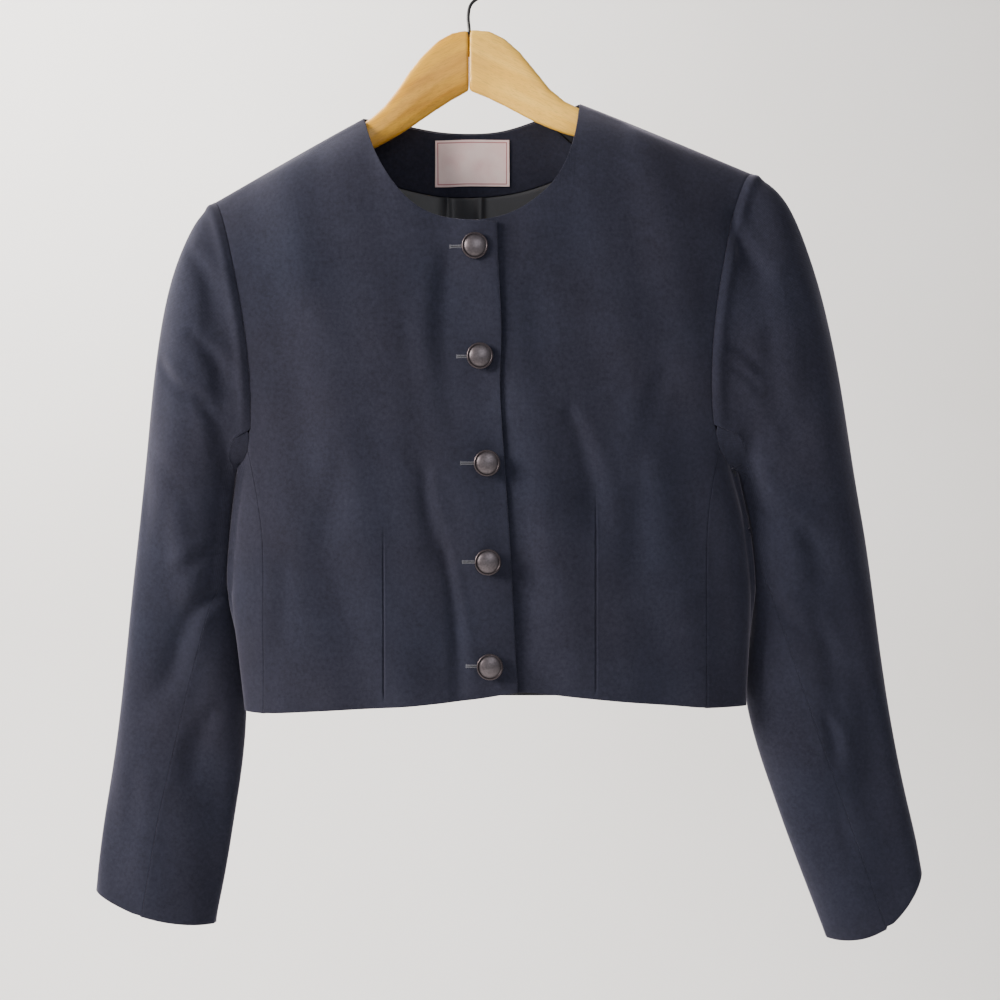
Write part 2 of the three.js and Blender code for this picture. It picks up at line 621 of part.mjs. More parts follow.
// Step round the sleeve at which its front seam lies, and its back seam
function seamStep(side, row, which) {
  const rows = side.sleeve.map((ring, index) => ({ ...ring, index }));
  const share = column(rows, 'index', row, 'seam');
  const angle = Math.acos(2 * share - 1) * RING_STEPS / (2 * Math.PI);
  const settle = THREE.MathUtils.smoothstep(row, 0, SEAM_SETTLE);
  if (which === 'front') return THREE.MathUtils.lerp(FRONT_SEAM_STEP, angle, settle);
  return BACK_SEAM_STEP;
}

// Direction round the sleeve at a step, across its seams
function alongRing(side, step, row) {
  const after = onSleeve(side, step + SEAM_PROBE, row).point;
  return after.sub(onSleeve(side, step - SEAM_PROBE, row).point).normalize();
}

function sleevePiece(side, which, material) {
  const underColumns = BACK_SEAM_STEP - FRONT_SEAM_STEP;
  const columns = which === 'upper' ? RING_STEPS - underColumns : underColumns;
  const lastRow = side.sleeve.length - 1;
  const grid = [];
  for (let i = 0; i <= columns; i += 1) {
    const line = [];
    for (let j = 0; j <= SLEEVE_ROWS; j += 1) {
      const row = lastRow * j / SLEEVE_ROWS;
      const front = seamStep(side, row, 'front');
      const back = seamStep(side, row, 'back');
      const from = which === 'upper' ? back - RING_STEPS : front;
      const to = which === 'upper' ? front : back;
      const step = THREE.MathUtils.lerp(from, to, i / columns);
      const spot = onSleeve(side, step, row);
      const apart = GAP / 2 + SEAM_EASE.extra * Math.exp(-row / SEAM_EASE.rows);
      if (i === 0) spot.point.addScaledVector(alongRing(side, step, row), apart);
      if (i === columns) spot.point.addScaledVector(alongRing(side, step, row), -apart);
      line.push(spot);
    }
    grid.push(line);
  }
  return wallMesh(`sleeve_${side.name}_${which}`, grid, WALL, material);
}

// A point on the inner face of the back, moved in by a clearance
function insideBack(x, w, clearance) {
  const spot = onBody(x, -w);
  spot.point.addScaledVector(spot.inward, clearance);
  return spot;
}

// Outer edge of the back neck facing, a set width from the back neckline
function facingEdge(t, width) {
  const { x, z } = outline(NECK_BACK)(t);
  const angle = THREE.MathUtils.lerp(FACING_TURN.right, FACING_TURN.left, t) * Math.PI;
  return { x: x - width * Math.cos(angle), z: z - width * Math.sin(angle) };
}

function backNeckFacing(material) {
  const grid = [];
  for (let i = 0; i <= FACING.columns; i += 1) {
    const line = [];
    const t = THREE.MathUtils.lerp(FACING.from, FACING.to, i / FACING.columns);
    for (let j = 0; j <= FACING.rows; j += 1) {
      const { x, z } = facingEdge(t, THREE.MathUtils.lerp(FACING.edge, FACING.width, j / FACING.rows));
      line.push(insideBack(x, clothLength(x, z), WALL + INNER_GAP));
    }
    grid.push(line);
  }
  return wallMesh('back_neck_facing', grid, THIN_WALL, material);
}

function pleatDepth(point) {
  const fade = THREE.MathUtils.clamp((PLEAT.top - point.z) / PLEAT.fade, 0, 1);
  let sum = 0;
  for (const pleat of PLEATS) {
    const across = (point.x - pleat.x) / PLEAT.width;
    sum += PLEAT.depth * (1 - fade) * Math.exp(-(across ** 2));
  }
  return sum;
}

// Lining from the facing to just above the hem, with two pleats standing at its middle
function liningBack(material) {
  const share = SHOULDER_SHARE;
  const middle = 1 - 2 * share;
  const neck = (t) => facingEdge(THREE.MathUtils.lerp(FACING.from, FACING.to, t), FACING.width + 2 * GAP);
  const edges = backEdges(neck, LINING.side, LINING.hem, FACING.start);
  const spots = [];
  for (let k = 0; k < LINING.columns / 2; k += 1) spots.push(share * 2 * k / LINING.columns);
  for (let k = 0; k <= FACING.columns; k += 1) spots.push(share + middle * k / FACING.columns);
  for (let k = 1; k <= LINING.columns / 2; k += 1) spots.push(1 - share + share * 2 * k / LINING.columns);
  for (const pleat of PLEATS) {
    for (const offset of [-PLEAT.foot, 0, PLEAT.foot]) {
      spots.push(share + middle * (pleat.x + offset - neck(0).x) / (neck(1).x - neck(0).x));
    }
  }
  spots.sort((a, b) => a - b);
  const grid = spots.map((u) => {
    const line = [];
    for (let j = 0; j <= LINING.rows; j += 1) {
      const [x, w] = patch(edges, u, j / LINING.rows);
      const spot = insideBack(x, w, WALL + INNER_GAP);
      spot.point.addScaledVector(spot.inward, pleatDepth(spot.point));
      line.push(spot);
    }
    return line;
  });
  return wallMesh('lining_back', grid, THIN_WALL, material);
}

function neckLabel(material) {
  const grid = [];
  for (let i = 0; i <= LABEL.columns; i += 1) {
    const line = [];
    for (let j = 0; j <= LABEL.rows; j += 1) {
      const x = THREE.MathUtils.lerp(LABEL.left, LABEL.right, i / LABEL.columns);
      const z = THREE.MathUtils.lerp(LABEL.bottom, LABEL.top, j / LABEL.rows);
      line.push(insideBack(x, clothLength(x, z), WALL + INNER_GAP + THIN_WALL + LABEL_GAP));
    }
    grid.push(line);
  }
  return wallMesh('label', grid, LABEL.thick, material);
}

function toManifold(geometry) {
  const bare = geometry.clone();
  bare.deleteAttribute('normal');
  bare.deleteAttribute('uv');
  const merged = mergeVertices(bare, 1e-4);
  return new wasm.Manifold(new wasm.Mesh({
    numProp: 3,
    vertProperties: new Float32Array(merged.attributes.position.array),
    triVerts: new Uint32Array(merged.index.array),
  }));
}

function fromManifold(solid) {
  const { vertProperties, triVerts } = solid.getMesh();
  const geometry = new THREE.BufferGeometry();
  geometry.setAttribute('position', new THREE.BufferAttribute(new Float32Array(vertProperties), 3));
  geometry.setIndex(new THREE.BufferAttribute(new Uint32Array(triVerts), 1));
  return geometry;
}

// Domed button with a raised rim and a short shank behind, standing off the right front
function button(place, number, material) {
  const profile = BUTTON_PROFILE.map((row) => new THREE.Vector2(row.radius, row.height));
  const dome = new THREE.LatheGeometry(profile, BUTTON_SIDES);
  const { radius, height, sunk, sides } = SHANK;
  const shank = new THREE.CylinderGeometry(radius, radius, height + sunk, sides);
  shank.translate(0, (sunk - height) / 2, 0);
  const geometry = fromManifold(toManifold(dome).add(toManifold(shank)));
  const mesh = new THREE.Mesh(geometry, material);
  const { point, inward } = onBody(place.x, clothLength(place.x, place.z));
  const outward = inward.clone().negate();
  mesh.quaternion.setFromUnitVectors(new THREE.Vector3(0, 1, 0), outward);
  mesh.position.copy(point).addScaledVector(outward, height + GAP);
  mesh.name = `button_${number}`;
  return mesh;
}

// Closed solid through a row of rings, with flat ends
function loft(name, rings, material) {
  const sides = rings[0].length;
  const positions = rings.flat().flatMap((point) => point.toArray());
  const index = [];
  for (let i = 0; i < rings.length - 1; i += 1) {
    for (let k = 0; k < sides; k += 1) {
      const a = i * sides + k;
      const b = i * sides + (k + 1) % sides;
      index.push(a, a + sides, b + sides, a, b + sides, b);
    }
  }
  const last = (rings.length - 1) * sides;
  for (let k = 1; k < sides - 1; k += 1) {
    index.push(0, k, k + 1, last, last + k + 1, last + k);
  }
  return solidMesh(name, positions, index, material);
}

// One half of the wooden hanger: its arch, then the arm that carries the shoulder
function hangerArm(side, material) {
  const joint = GAP / 2;
  const end = Math.abs(side.sleeve[0].outX) - ARM.short;
  const reach = WOOD[WOOD.length - 1].out;
  const soft = (value) => Math.sign(value) * Math.abs(value) ** (2 / ARM.corner);
  const { sides, stations, spacing } = ARM_GRID;
  const rings = [];
  for (let i = 0; i <= stations; i += 1) {
    const out = THREE.MathUtils.lerp(joint, end, (i / stations) ** spacing);
    const x = side.sign * out;
    const along = Math.max(out - reach, 0) / (end - reach);
    let top = column(WOOD, 'out', out, 'top') + SHOULDER.tilt * x;
    let bottom = column(WOOD, 'out', out, 'bottom') + SHOULDER.tilt * x;
    if (out > reach - ARM_SEAT.overlap) {
      const seat = ridge(x) - (WALL + ARM_SEAT.gap) * Math.hypot(1, SHOULDER.slope);
      top = seat;
      bottom = seat - THREE.MathUtils.lerp(ARM.height, ARM.endHeight, along);
    }
    const shrink = i === stations ? ARM.endShrink : 1;
    const height = shrink * (top - bottom) / 2;
    const depth = shrink * ARM.thick / 2;
    const middle = (top + bottom) / 2;
    const y = ARM_SWEEP.y * THREE.MathUtils.smoothstep(out, 0, ARM_SWEEP.length);
    const ring = [];
    for (let k = 0; k < sides; k += 1) {
      const angle = (k + 0.5) * 2 * Math.PI / sides;
      const spotY = y + soft(Math.cos(angle)) * depth;
      ring.push(new THREE.Vector3(x, spotY, middle + soft(Math.sin(angle)) * height));
    }
    rings.push(ring);
  }
  const arm = loft(`hanger_arm_${side.name}`, rings, material);
  const bore = new THREE.CylinderGeometry(BORE.radius, BORE.radius, BORE.length, BORE.sides);
  bore.rotateX(Math.PI / 2);
  bore.translate(0, 0, HOOK_FOOT[0].z - BORE.below + BORE.length / 2);
  arm.geometry = fromManifold(toManifold(arm.geometry).subtract(toManifold(bore)));
  return arm;
}

// Wire hook: a straight shank in the wood, a slight bend, then the crook
function hangerHook(material) {
  const points = HOOK_FOOT.map((spot) => new THREE.Vector3(spot.x, 0, spot.z));
  for (let degrees = HOOK.from; degrees <= HOOK.to; degrees += HOOK.turn) {
    const angle = THREE.MathUtils.degToRad(degrees);
    const z = HOOK.centreZ + HOOK.radius * Math.sin(angle);
    points.push(new THREE.Vector3(HOOK.radius * Math.cos(angle), 0, z));
  }
  const section = new THREE.Shape();
  for (let k = 0; k < HOOK.sides; k += 1) {
    const angle = (k + 0.5) * 2 * Math.PI / HOOK.sides;
    const method = k === 0 ? 'moveTo' : 'lineTo';
    section[method](HOOK.wire * Math.cos(angle), HOOK.wire * Math.sin(angle));
  }
  const geometry = new THREE.ExtrudeGeometry(section, {
    steps: HOOK.steps,
    extrudePath: new THREE.CatmullRomCurve3(points),
    bevelEnabled: false,
  });
  const mesh = new THREE.Mesh(geometry, material);
  mesh.name = 'hanger_hook';
  return mesh;
}

function finish(color, roughness, metalness = 0) {
  return new THREE.MeshStandardMaterial({ color, roughness, metalness });
}

const wool = () => finish(0x2b303d, 0.95);
const satin = () => finish(0x1d1f27, 0.45);
const labelCloth = () => finish(0xe3cfd0, 0.8);
const horn = () => finish(0x3a3338, 0.3, 0.4);
const wood = () => finish(0xd8b478, 0.5);
const wire = () => finish(0x151515, 0.4, 0.8);

const jacket = new THREE.Group();
jacket.position.y = CLOTH_Y;
jacket.add(frontRight(wool()), frontLeft(wool()), backPanel(wool()));
for (const side of [RIGHT_SIDE, LEFT_SIDE]) {
  jacket.add(sidePanel(side, wool()), sleevePiece(side, 'upper', wool()), sleevePiece(side, 'under', wool()));
}
jacket.add(backNeckFacing(wool()), liningBack(satin()), neckLabel(labelCloth()));
BUTTONS.forEach((place, i) => jacket.add(button(place, i + 1, horn())));

const hanger = new THREE.Group();
hanger.add(hangerArm(RIGHT_SIDE, wood()), hangerArm(LEFT_SIDE, wood()), hangerHook(wire()));

const part = new THREE.Group();
part.add(jacket, hanger);

export default part;
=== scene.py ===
# %% [markdown]
# # A cropped wool jacket on a wooden hanger
# This lesson dresses a plain model of a buttoned, collarless jacket, which hangs on a hanger.
# The model already has every cut piece at its real size, as a wall of cloth with few faces.
# We refine each wall, lay its creases one by one, and give every piece the finish of the real one.

# %% Start from the imported model
import math
from collections import deque

import bmesh
import bpy
import numpy as np
from mathutils import Matrix, Vector
from mathutils.bvhtree import BVHTree
from mathutils.kdtree import KDTree


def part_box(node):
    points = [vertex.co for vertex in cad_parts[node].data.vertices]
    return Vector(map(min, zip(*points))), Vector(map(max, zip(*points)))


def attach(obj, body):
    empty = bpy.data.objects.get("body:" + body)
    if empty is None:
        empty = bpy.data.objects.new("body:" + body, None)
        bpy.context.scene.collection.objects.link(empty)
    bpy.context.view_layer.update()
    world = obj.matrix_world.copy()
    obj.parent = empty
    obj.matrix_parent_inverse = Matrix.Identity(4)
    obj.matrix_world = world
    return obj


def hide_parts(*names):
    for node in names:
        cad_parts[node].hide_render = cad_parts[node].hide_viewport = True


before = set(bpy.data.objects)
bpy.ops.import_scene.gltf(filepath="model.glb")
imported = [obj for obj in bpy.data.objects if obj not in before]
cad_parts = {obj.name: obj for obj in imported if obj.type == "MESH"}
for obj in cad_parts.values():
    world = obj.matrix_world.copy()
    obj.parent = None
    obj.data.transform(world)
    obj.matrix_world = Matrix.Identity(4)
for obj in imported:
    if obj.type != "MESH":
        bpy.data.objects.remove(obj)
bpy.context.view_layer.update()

ops = bpy.ops
MM = 0.001
print("nodes in the frame:", len(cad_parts))

# %% [markdown]
# ## The camera
# The photograph was taken straight on, from about 1.25 m, level with the middle of the jacket.
# At the jacket one pixel of the picture, which is 1000 pixels wide, spans 0.78 mm of cloth.
# Distance and span together fix the focal length, so nothing is set by eye.

# %% Camera
PICTURE_PIXELS = 1000
SPAN_PER_PIXEL = 0.78 * MM
VIEW_DISTANCE = 1.25
CLOTH_Y = -8 * MM
AIM = Vector((24.2 * MM, CLOTH_Y, -429.7 * MM))

camera_data = bpy.data.cameras.new("camera")
camera_data.sensor_width = 36.0
camera_data.lens = camera_data.sensor_width * VIEW_DISTANCE / (PICTURE_PIXELS * SPAN_PER_PIXEL)
camera = bpy.data.objects.new("camera", camera_data)
camera.location = AIM - Vector((0, VIEW_DISTANCE, 0))
camera.rotation_euler = (math.radians(90), 0, 0)
bpy.context.scene.collection.objects.link(camera)
bpy.context.scene.camera = camera
print("focal length in mm:", round(camera_data.lens, 1))

# %% [markdown]
# ## Helpers for every piece
# An operator works on whatever is selected, so each piece is picked by itself first.
# A material is a small tree of nodes, and these helpers keep the trees readable.

# %% Selecting and joining
def pick(*pieces):
    """Selects these objects only, the first one active."""
    ops.object.select_all(action="DESELECT")
    for piece in pieces:
        piece.select_set(True)
    bpy.context.view_layer.objects.active = pieces[0]


def copy_solid(node, name):
    """A new piece with the solid's mesh, its loose triangles joined at their corners."""
    piece = bpy.data.objects.new(name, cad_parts[node].data.copy())
    bpy.context.scene.collection.objects.link(piece)
    pick(piece)
    ops.mesh.customdata_custom_splitnormals_clear()
    ops.object.mode_set(mode="EDIT")
    ops.mesh.select_all(action="SELECT")
    ops.mesh.remove_doubles(threshold=0.01 * MM)
    ops.object.mode_set(mode="OBJECT")
    piece.data.materials.clear()
    return piece


def positions(mesh):
    """The places of a mesh's vertices, as rows of x, y, z."""
    flat = np.zeros(len(mesh.vertices) * 3)
    mesh.vertices.foreach_get("co", flat)
    return flat.reshape(-1, 3)


def triangles(piece):
    piece.data.calc_loop_triangles()
    return len(piece.data.loop_triangles)


def modify(piece, kind, **settings):
    """Adds a modifier with these settings to the piece that is picked, and applies it."""
    modifier = piece.modifiers.new(kind.lower(), kind)
    for key, value in settings.items():
        setattr(modifier, key, value)
    ops.object.modifier_apply(modifier=modifier.name)


def put_on(piece, node=None):
    """Hides the solid that a finished piece stands for, and hangs the piece on its body."""
    if node:
        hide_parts(node)
    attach(piece, "root")


# %% Nodes of a material
def new_material(name, roughness, **sockets):
    """A Principled material, with what is even all over set on the shader's own sockets."""
    material = bpy.data.materials.new(name)
    material.use_nodes = True
    tree = material.node_tree
    shader = tree.nodes["Principled BSDF"]
    shader.inputs["Roughness"].default_value = roughness
    for socket, value in sockets.items():
        shader.inputs[socket.replace("_", " ")].default_value = value
    return material, tree, shader


def add_node(tree, kind, links=(), **settings):
    """A node with its settings and its incoming links, given as (input, output socket)."""
    node = tree.nodes.new(kind)
    for key, value in settings.items():
        if key in node.inputs:
            node.inputs[key].default_value = value
        else:
            setattr(node, key, value)
    for name, source in links:
        tree.links.new(source, node.inputs[name])
    return node


def object_place(tree):
    """Coordinates fixed to the piece, in metres."""
    return add_node(tree, "ShaderNodeTexCoord").outputs["Object"]


def grey(value):
    return (value, value, value)


def paint(tree, shader, tone):
    """Takes the shader's colour from a socket."""
    tree.links.new(tone, shader.inputs["Base Color"])


def noise(tree, vector, scale, detail=3.0, roughness=0.5):
    """Cloudy noise on a vector socket, with its scale in features a metre."""
    node = add_node(tree, "ShaderNodeTexNoise", [("Vector", vector)])
    node.inputs["Scale"].default_value = scale
    node.inputs["Detail"].default_value = detail
    node.inputs["Roughness"].default_value = roughness
    return node.outputs["Fac"]


def ramp(tree, factor, stops):
    """Colours laid over a factor, as pairs of place and colour."""
    node = add_node(tree, "ShaderNodeValToRGB", [("Fac", factor)])
    elements = node.color_ramp.elements
    while len(elements) < len(stops):
        elements.new(0.5)
    for element, (place, colour) in zip(elements, stops):
        element.position = place
        element.color = (*colour, 1.0)
    return node.outputs["Color"]


def mix_colours(tree, factor, first, second, blend="MIX"):
    """One colour laid over another; a colour is a socket or three numbers."""
    node = add_node(tree, "ShaderNodeMix", data_type="RGBA", blend_type=blend)
    for socket, value in ((node.inputs[0], factor), (node.inputs[6], first), (node.inputs[7], second)):
        if isinstance(value, bpy.types.NodeSocket):
            tree.links.new(value, socket)
        elif isinstance(value, tuple):
            socket.default_value = (*value, 1.0)
        else:
            socket.default_value = value
    return node.outputs[2]


def calculate(tree, operation, first, second=0.0):
    """One step of arithmetic on sockets or numbers."""
    node = add_node(tree, "ShaderNodeMath", operation=operation)
    for socket, value in ((node.inputs[0], first), (node.inputs[1], second)):
        if isinstance(value, bpy.types.NodeSocket):
            tree.links.new(value, socket)
        else:
            socket.default_value = value
    return node.outputs[0]


def raise_bump(tree, shader, height, strength, distance):
    """Relief from a height socket, given in metres of depth."""
    bump = add_node(tree, "ShaderNodeBump", [("Height", height)])
    bump.inputs["Strength"].default_value = strength
    bump.inputs["Distance"].default_value = distance
    tree.links.new(bump.outputs["Normal"], shader.inputs["Normal"])


def stretched(tree, vector, scale):
    """The same coordinates, closer or wider along each axis."""
    node = add_node(tree, "ShaderNodeMapping", [("Vector", vector)])
    node.inputs["Scale"].default_value = scale
    return node.outputs["Vector"]


# %% [markdown]
# ## Wool
# The cloth is a smooth, fulled worsted: nearly black navy, with a fine weave under a short nap.
# A photograph of the weave would repeat and blur, so we build it from its causes instead.
# Two sets of threads cross about once a millimetre on the piece's own flat pattern.
# Over them lie soft clouds of tone, single lighter fibres, and a sheen for the nap, which
# catches light that grazes the cloth.

# %% Wool material
def threads(tree, vector, pitch, direction):
    """Rounded threads side by side, a pitch apart."""
    node = add_node(tree, "ShaderNodeTexWave", [("Vector", vector)], bands_direction=direction)
    node.inputs["Scale"].default_value = math.pi / (10 * pitch)
    node.inputs["Distortion"].default_value = 1.2
    node.inputs["Detail"].default_value = 1.0
    node.inputs["Detail Scale"].default_value = 0.5
    return node.outputs["Fac"]


THREAD_PITCH = 0.9 * MM
WOOL_DARK = (0.0125, 0.0158, 0.0300)
WOOL_LIGHT = (0.0180, 0.0225, 0.0405)
WOOL_WARM = (0.0300, 0.0250, 0.0350)
FIBRE_LIGHT = (0.085, 0.090, 0.110)


def make_wool(name, dark, light):
    material, tree, shader = new_material(
        name, 0.9, Sheen_Weight=0.34, Sheen_Roughness=0.42, Sheen_Tint=(0.60, 0.56, 0.68, 1), IOR=1.25,
    )
    pattern = add_node(tree, "ShaderNodeUVMap", uv_map="pattern").outputs["UV"]
    place = object_place(tree)
    clouds = ramp(tree, noise(tree, place, 24, 4.0, 0.6), [(0.32, dark), (0.68, light)])
    warm = calculate(tree, "MULTIPLY", noise(tree, place, 9, 2.0), 0.5)
    tone = mix_colours(tree, warm, clouds, WOOL_WARM)
    mottle = ramp(tree, noise(tree, place, 340, 3.0, 0.7), [(0.28, grey(0.76)), (0.72, grey(1.24))])
    tone = mix_colours(tree, 1.0, tone, mottle, "MULTIPLY")
    warp = threads(tree, pattern, THREAD_PITCH, "X")
    weft = threads(tree, pattern, THREAD_PITCH, "Y")
    weave = calculate(tree, "MULTIPLY", warp, weft)
    lit = ramp(tree, weave, [(0.0, grey(0.80)), (1.0, grey(1.22))])
    tone = mix_colours(tree, 1.0, tone, lit, "MULTIPLY")
    fibres = noise(tree, stretched(tree, pattern, (1500, 420, 1)), 1.0, 2.0, 0.8)
    few = ramp(tree, fibres, [(0.70, (0, 0, 0)), (0.84, grey(0.5))])
    tone = mix_colours(tree, few, tone, FIBRE_LIGHT)
    paint(tree, shader, tone)
    nap = noise(tree, place, 1300, 2.0, 0.7)
    relief = calculate(tree, "ADD", weave, calculate(tree, "MULTIPLY", nap, 0.8))
    raise_bump(tree, shader, relief, 0.55, 0.12 * MM)
    return material


wool = make_wool("wool", WOOL_DARK, WOOL_LIGHT)
print("threads to the centimetre:", round(10 * MM / THREAD_PITCH, 1))

# %% [markdown]
# ## Satin lining
# The lining is a thin dark satin. Its threads float lengthwise, so its highlights are drawn
# out across them. A fine streaky bump along the length and a low roughness give that gleam.

# %% Lining material
LINING_DARK = (0.004, 0.0045, 0.008)
LINING_LIGHT = (0.013, 0.0135, 0.019)

satin, tree, shader = new_material("satin_lining", 0.44, Sheen_Weight=0.1, IOR=1.5, Anisotropic=0.5)
place = object_place(tree)
streaks = noise(tree, stretched(tree, place, (2600, 2600, 160)), 1.0, 2.0, 0.6)
clouds = noise(tree, place, 40, 3.0)
tone = ramp(tree, calculate(tree, "ADD", calculate(tree, "MULTIPLY", streaks, 0.6),
                            calculate(tree, "MULTIPLY", clouds, 0.4)),
            [(0.3, LINING_DARK), (0.7, LINING_LIGHT)])
paint(tree, shader, tone)
raise_bump(tree, shader, streaks, 0.3, 0.05 * MM)

# %% [markdown]
# ## From a plain wall to fine cloth
# Each solid is a wall over a grid of four-sided cells, but the model stores triangles.
# Subdividing triangles would leave ripples, so first we find the cells again.
# Round a vertex of six triangles, the cuts that split the cells lie opposite each other.
# One sure cut therefore gives away its neighbours, and they spread over the whole wall.

# %% Finding the cells of a wall
def spokes(vertex):
    """The edges round a vertex, in order."""
    ring = [vertex.link_edges[0]]
    face = ring[0].link_faces[0]
    while True:
        turn = next(e for e in face.edges if e != ring[-1] and vertex in e.verts)
        if turn == ring[0]:
            return ring
        ring.append(turn)
        face = next(f for f in turn.link_faces if f != face)


def far_edge(first, second, vertex):
    """The edge that closes the triangle of two spokes."""
    face = next(f for f in first.link_faces if f in second.link_faces)
    return next(e for e in face.edges if vertex not in e.verts)


def cuts_at(vertex, ring, k):
    """The four cuts at a vertex if the spoke k is one."""
    at = [ring[(k + turn) % 6] for turn in range(6)]
    return [at[0], at[3], far_edge(at[1], at[2], vertex), far_edge(at[4], at[5], vertex)]


def sureness(vertex, ring, k):
    """How much longer the supposed cuts are than the sides of their triangles."""
    worst = 10.0
    for cut in cuts_at(vertex, ring, k):
        for face in cut.link_faces:
            sides = [e.calc_length() for e in face.edges if e != cut]
            worst = min(worst, cut.calc_length() / max(sides))
    return worst


def find_cells(mesh_edit):
    """Removes the cuts of each sheet, so that four-sided cells are left."""
    rings = {v: spokes(v) for v in mesh_edit.verts if not v.is_boundary and len(v.link_edges) == 6}
    rated = [(sureness(v, rings[v], k), v, k) for v in rings for k in range(3)]
    rated.sort(key=lambda row: -row[0])
    cuts = set()
    done = set()
    for _, start, k in rated:
        waiting = deque([(start, rings[start][k])])
        while waiting:
            vertex, cut = waiting.popleft()
            if vertex in done or vertex not in rings:
                continue
            done.add(vertex)
            for found in cuts_at(vertex, rings[vertex], rings[vertex].index(cut)):
                cuts.add(found)
                waiting.extend((end, found) for end in found.verts)
    # In the order of the mesh, so that every run numbers the cells alike
    in_order = sorted(cuts, key=lambda edge: edge.index)
    bmesh.ops.dissolve_edges(mesh_edit, edges=in_order, use_verts=False)


# %% [markdown]
# The rim of a wall is one row of cells as wide as the cloth is thick, so it is found by
# that width. Without its rim a wall is two sheets, the outer and the inner face.
# Both are smoothed by subdivision. The points where panels meet must stay put, or holes
# would open at the seams, so they are pinned: each corner, and each rim point near one.

# %% Rims, sheets and pins
OUTER = 0
INNER = 1
RIM = 2
SAME_LENGTH = 0.006 * MM
PIN_REACH = 3.6 * MM
PIN_TURN = math.radians(32)


def split_sheets(mesh_edit, thickness):
    """Deletes the rim, and marks the outer and the inner sheet as materials."""
    rim = [f for f in mesh_edit.faces
           if any(abs(e.calc_length() - thickness) < SAME_LENGTH for e in f.edges)]
    bmesh.ops.delete(mesh_edit, geom=rim, context="FACES")
    mesh_edit.edges.index_update()
    left = set(mesh_edit.faces)
    islands = []
    while left:
        island, waiting = set(), [left.pop()]
        while waiting:
            face = waiting.pop()
            island.add(face)
            near = {f for e in face.edges for f in e.link_faces} & left
            left -= near
            waiting.extend(near)
        islands.append(island)
    islands.sort(key=lambda island: -sum(f.calc_area() for f in island))
    for place, island in zip((OUTER, INNER), islands):
        for face in island:
            face.material_index = place
    return len(rim), len(islands)


def rim_corners(mesh_edit):
    """Rim points that belong to one cell only: the corners of the sheets."""
    return [v for v in mesh_edit.verts if v.is_boundary and len(v.link_faces) == 1]


def turn_at(vertex):
    """How far the rim's line turns at a point."""
    first, second = (e.other_vert(vertex).co - vertex.co for e in vertex.link_edges if e.is_boundary)
    return math.pi - first.angle(second)


def pin(mesh_edit, meeting_points):
    """Pins the rim where it turns and where other pieces have their corners."""
    floats = mesh_edit.verts.layers.float
    layer = floats.get("crease_vert") or floats.new("crease_vert")
    count = 0
    for vertex in mesh_edit.verts:
        if not vertex.is_boundary:
            continue
        near = any((vertex.co - spot).length < PIN_REACH for spot in meeting_points)
        if near or turn_at(vertex) > PIN_TURN:
            vertex[layer] = 1.0
            count += 1
    return count


# %% The flat pattern of a sheet
def lay_flat(piece, lean, mirrored):
    """Unwraps a sheet at real size in metres, its length upright, and measures the cut."""
    pick(piece)
    mesh = piece.data
    while mesh.uv_layers:
        mesh.uv_layers.remove(mesh.uv_layers[0])
    mesh.uv_layers.new(name="pattern")
    ops.object.mode_set(mode="EDIT")
    ops.mesh.select_all(action="SELECT")
    ops.uv.unwrap(method="CONFORMAL", margin=0.01)
    ops.object.mode_set(mode="OBJECT")
    layer = mesh.uv_layers["pattern"]
    flat = np.array([corner.uv for corner in layer.data])
    space = positions(mesh)
    corners = np.array([loop.vertex_index for loop in mesh.loops])
    outer = np.zeros(len(mesh.loops), bool)
    real = drawn = 0.0
    for polygon in mesh.polygons:
        if polygon.material_index != OUTER:
            continue
        ring = flat[list(polygon.loop_indices)]
        after = np.roll(ring, -1, axis=0)
        drawn += abs((ring[:, 0] * after[:, 1] - ring[:, 1] * after[:, 0]).sum()) / 2
        real += polygon.area
        outer[list(polygon.loop_indices)] = True
    flat *= math.sqrt(real / drawn)
    upright = space[corners][:, [0, 2]]
    if mirrored:
        upright[:, 0] *= -1
    turn = math.radians(lean)
    upright = upright @ np.array([[math.cos(turn), -math.sin(turn)], [math.sin(turn), math.cos(turn)]])
    middle = flat[outer].mean(0)
    tangle = (flat[outer] - middle).T @ (upright[outer] - upright[outer].mean(0))
    left, _, right = np.linalg.svd(tangle)
    flat = (flat - middle) @ (left @ right)
    layer.data.foreach_set("uv", flat.ravel())
    size = flat[outer].max(0) - flat[outer].min(0)
    return float(size[0]), float(size[1]), real
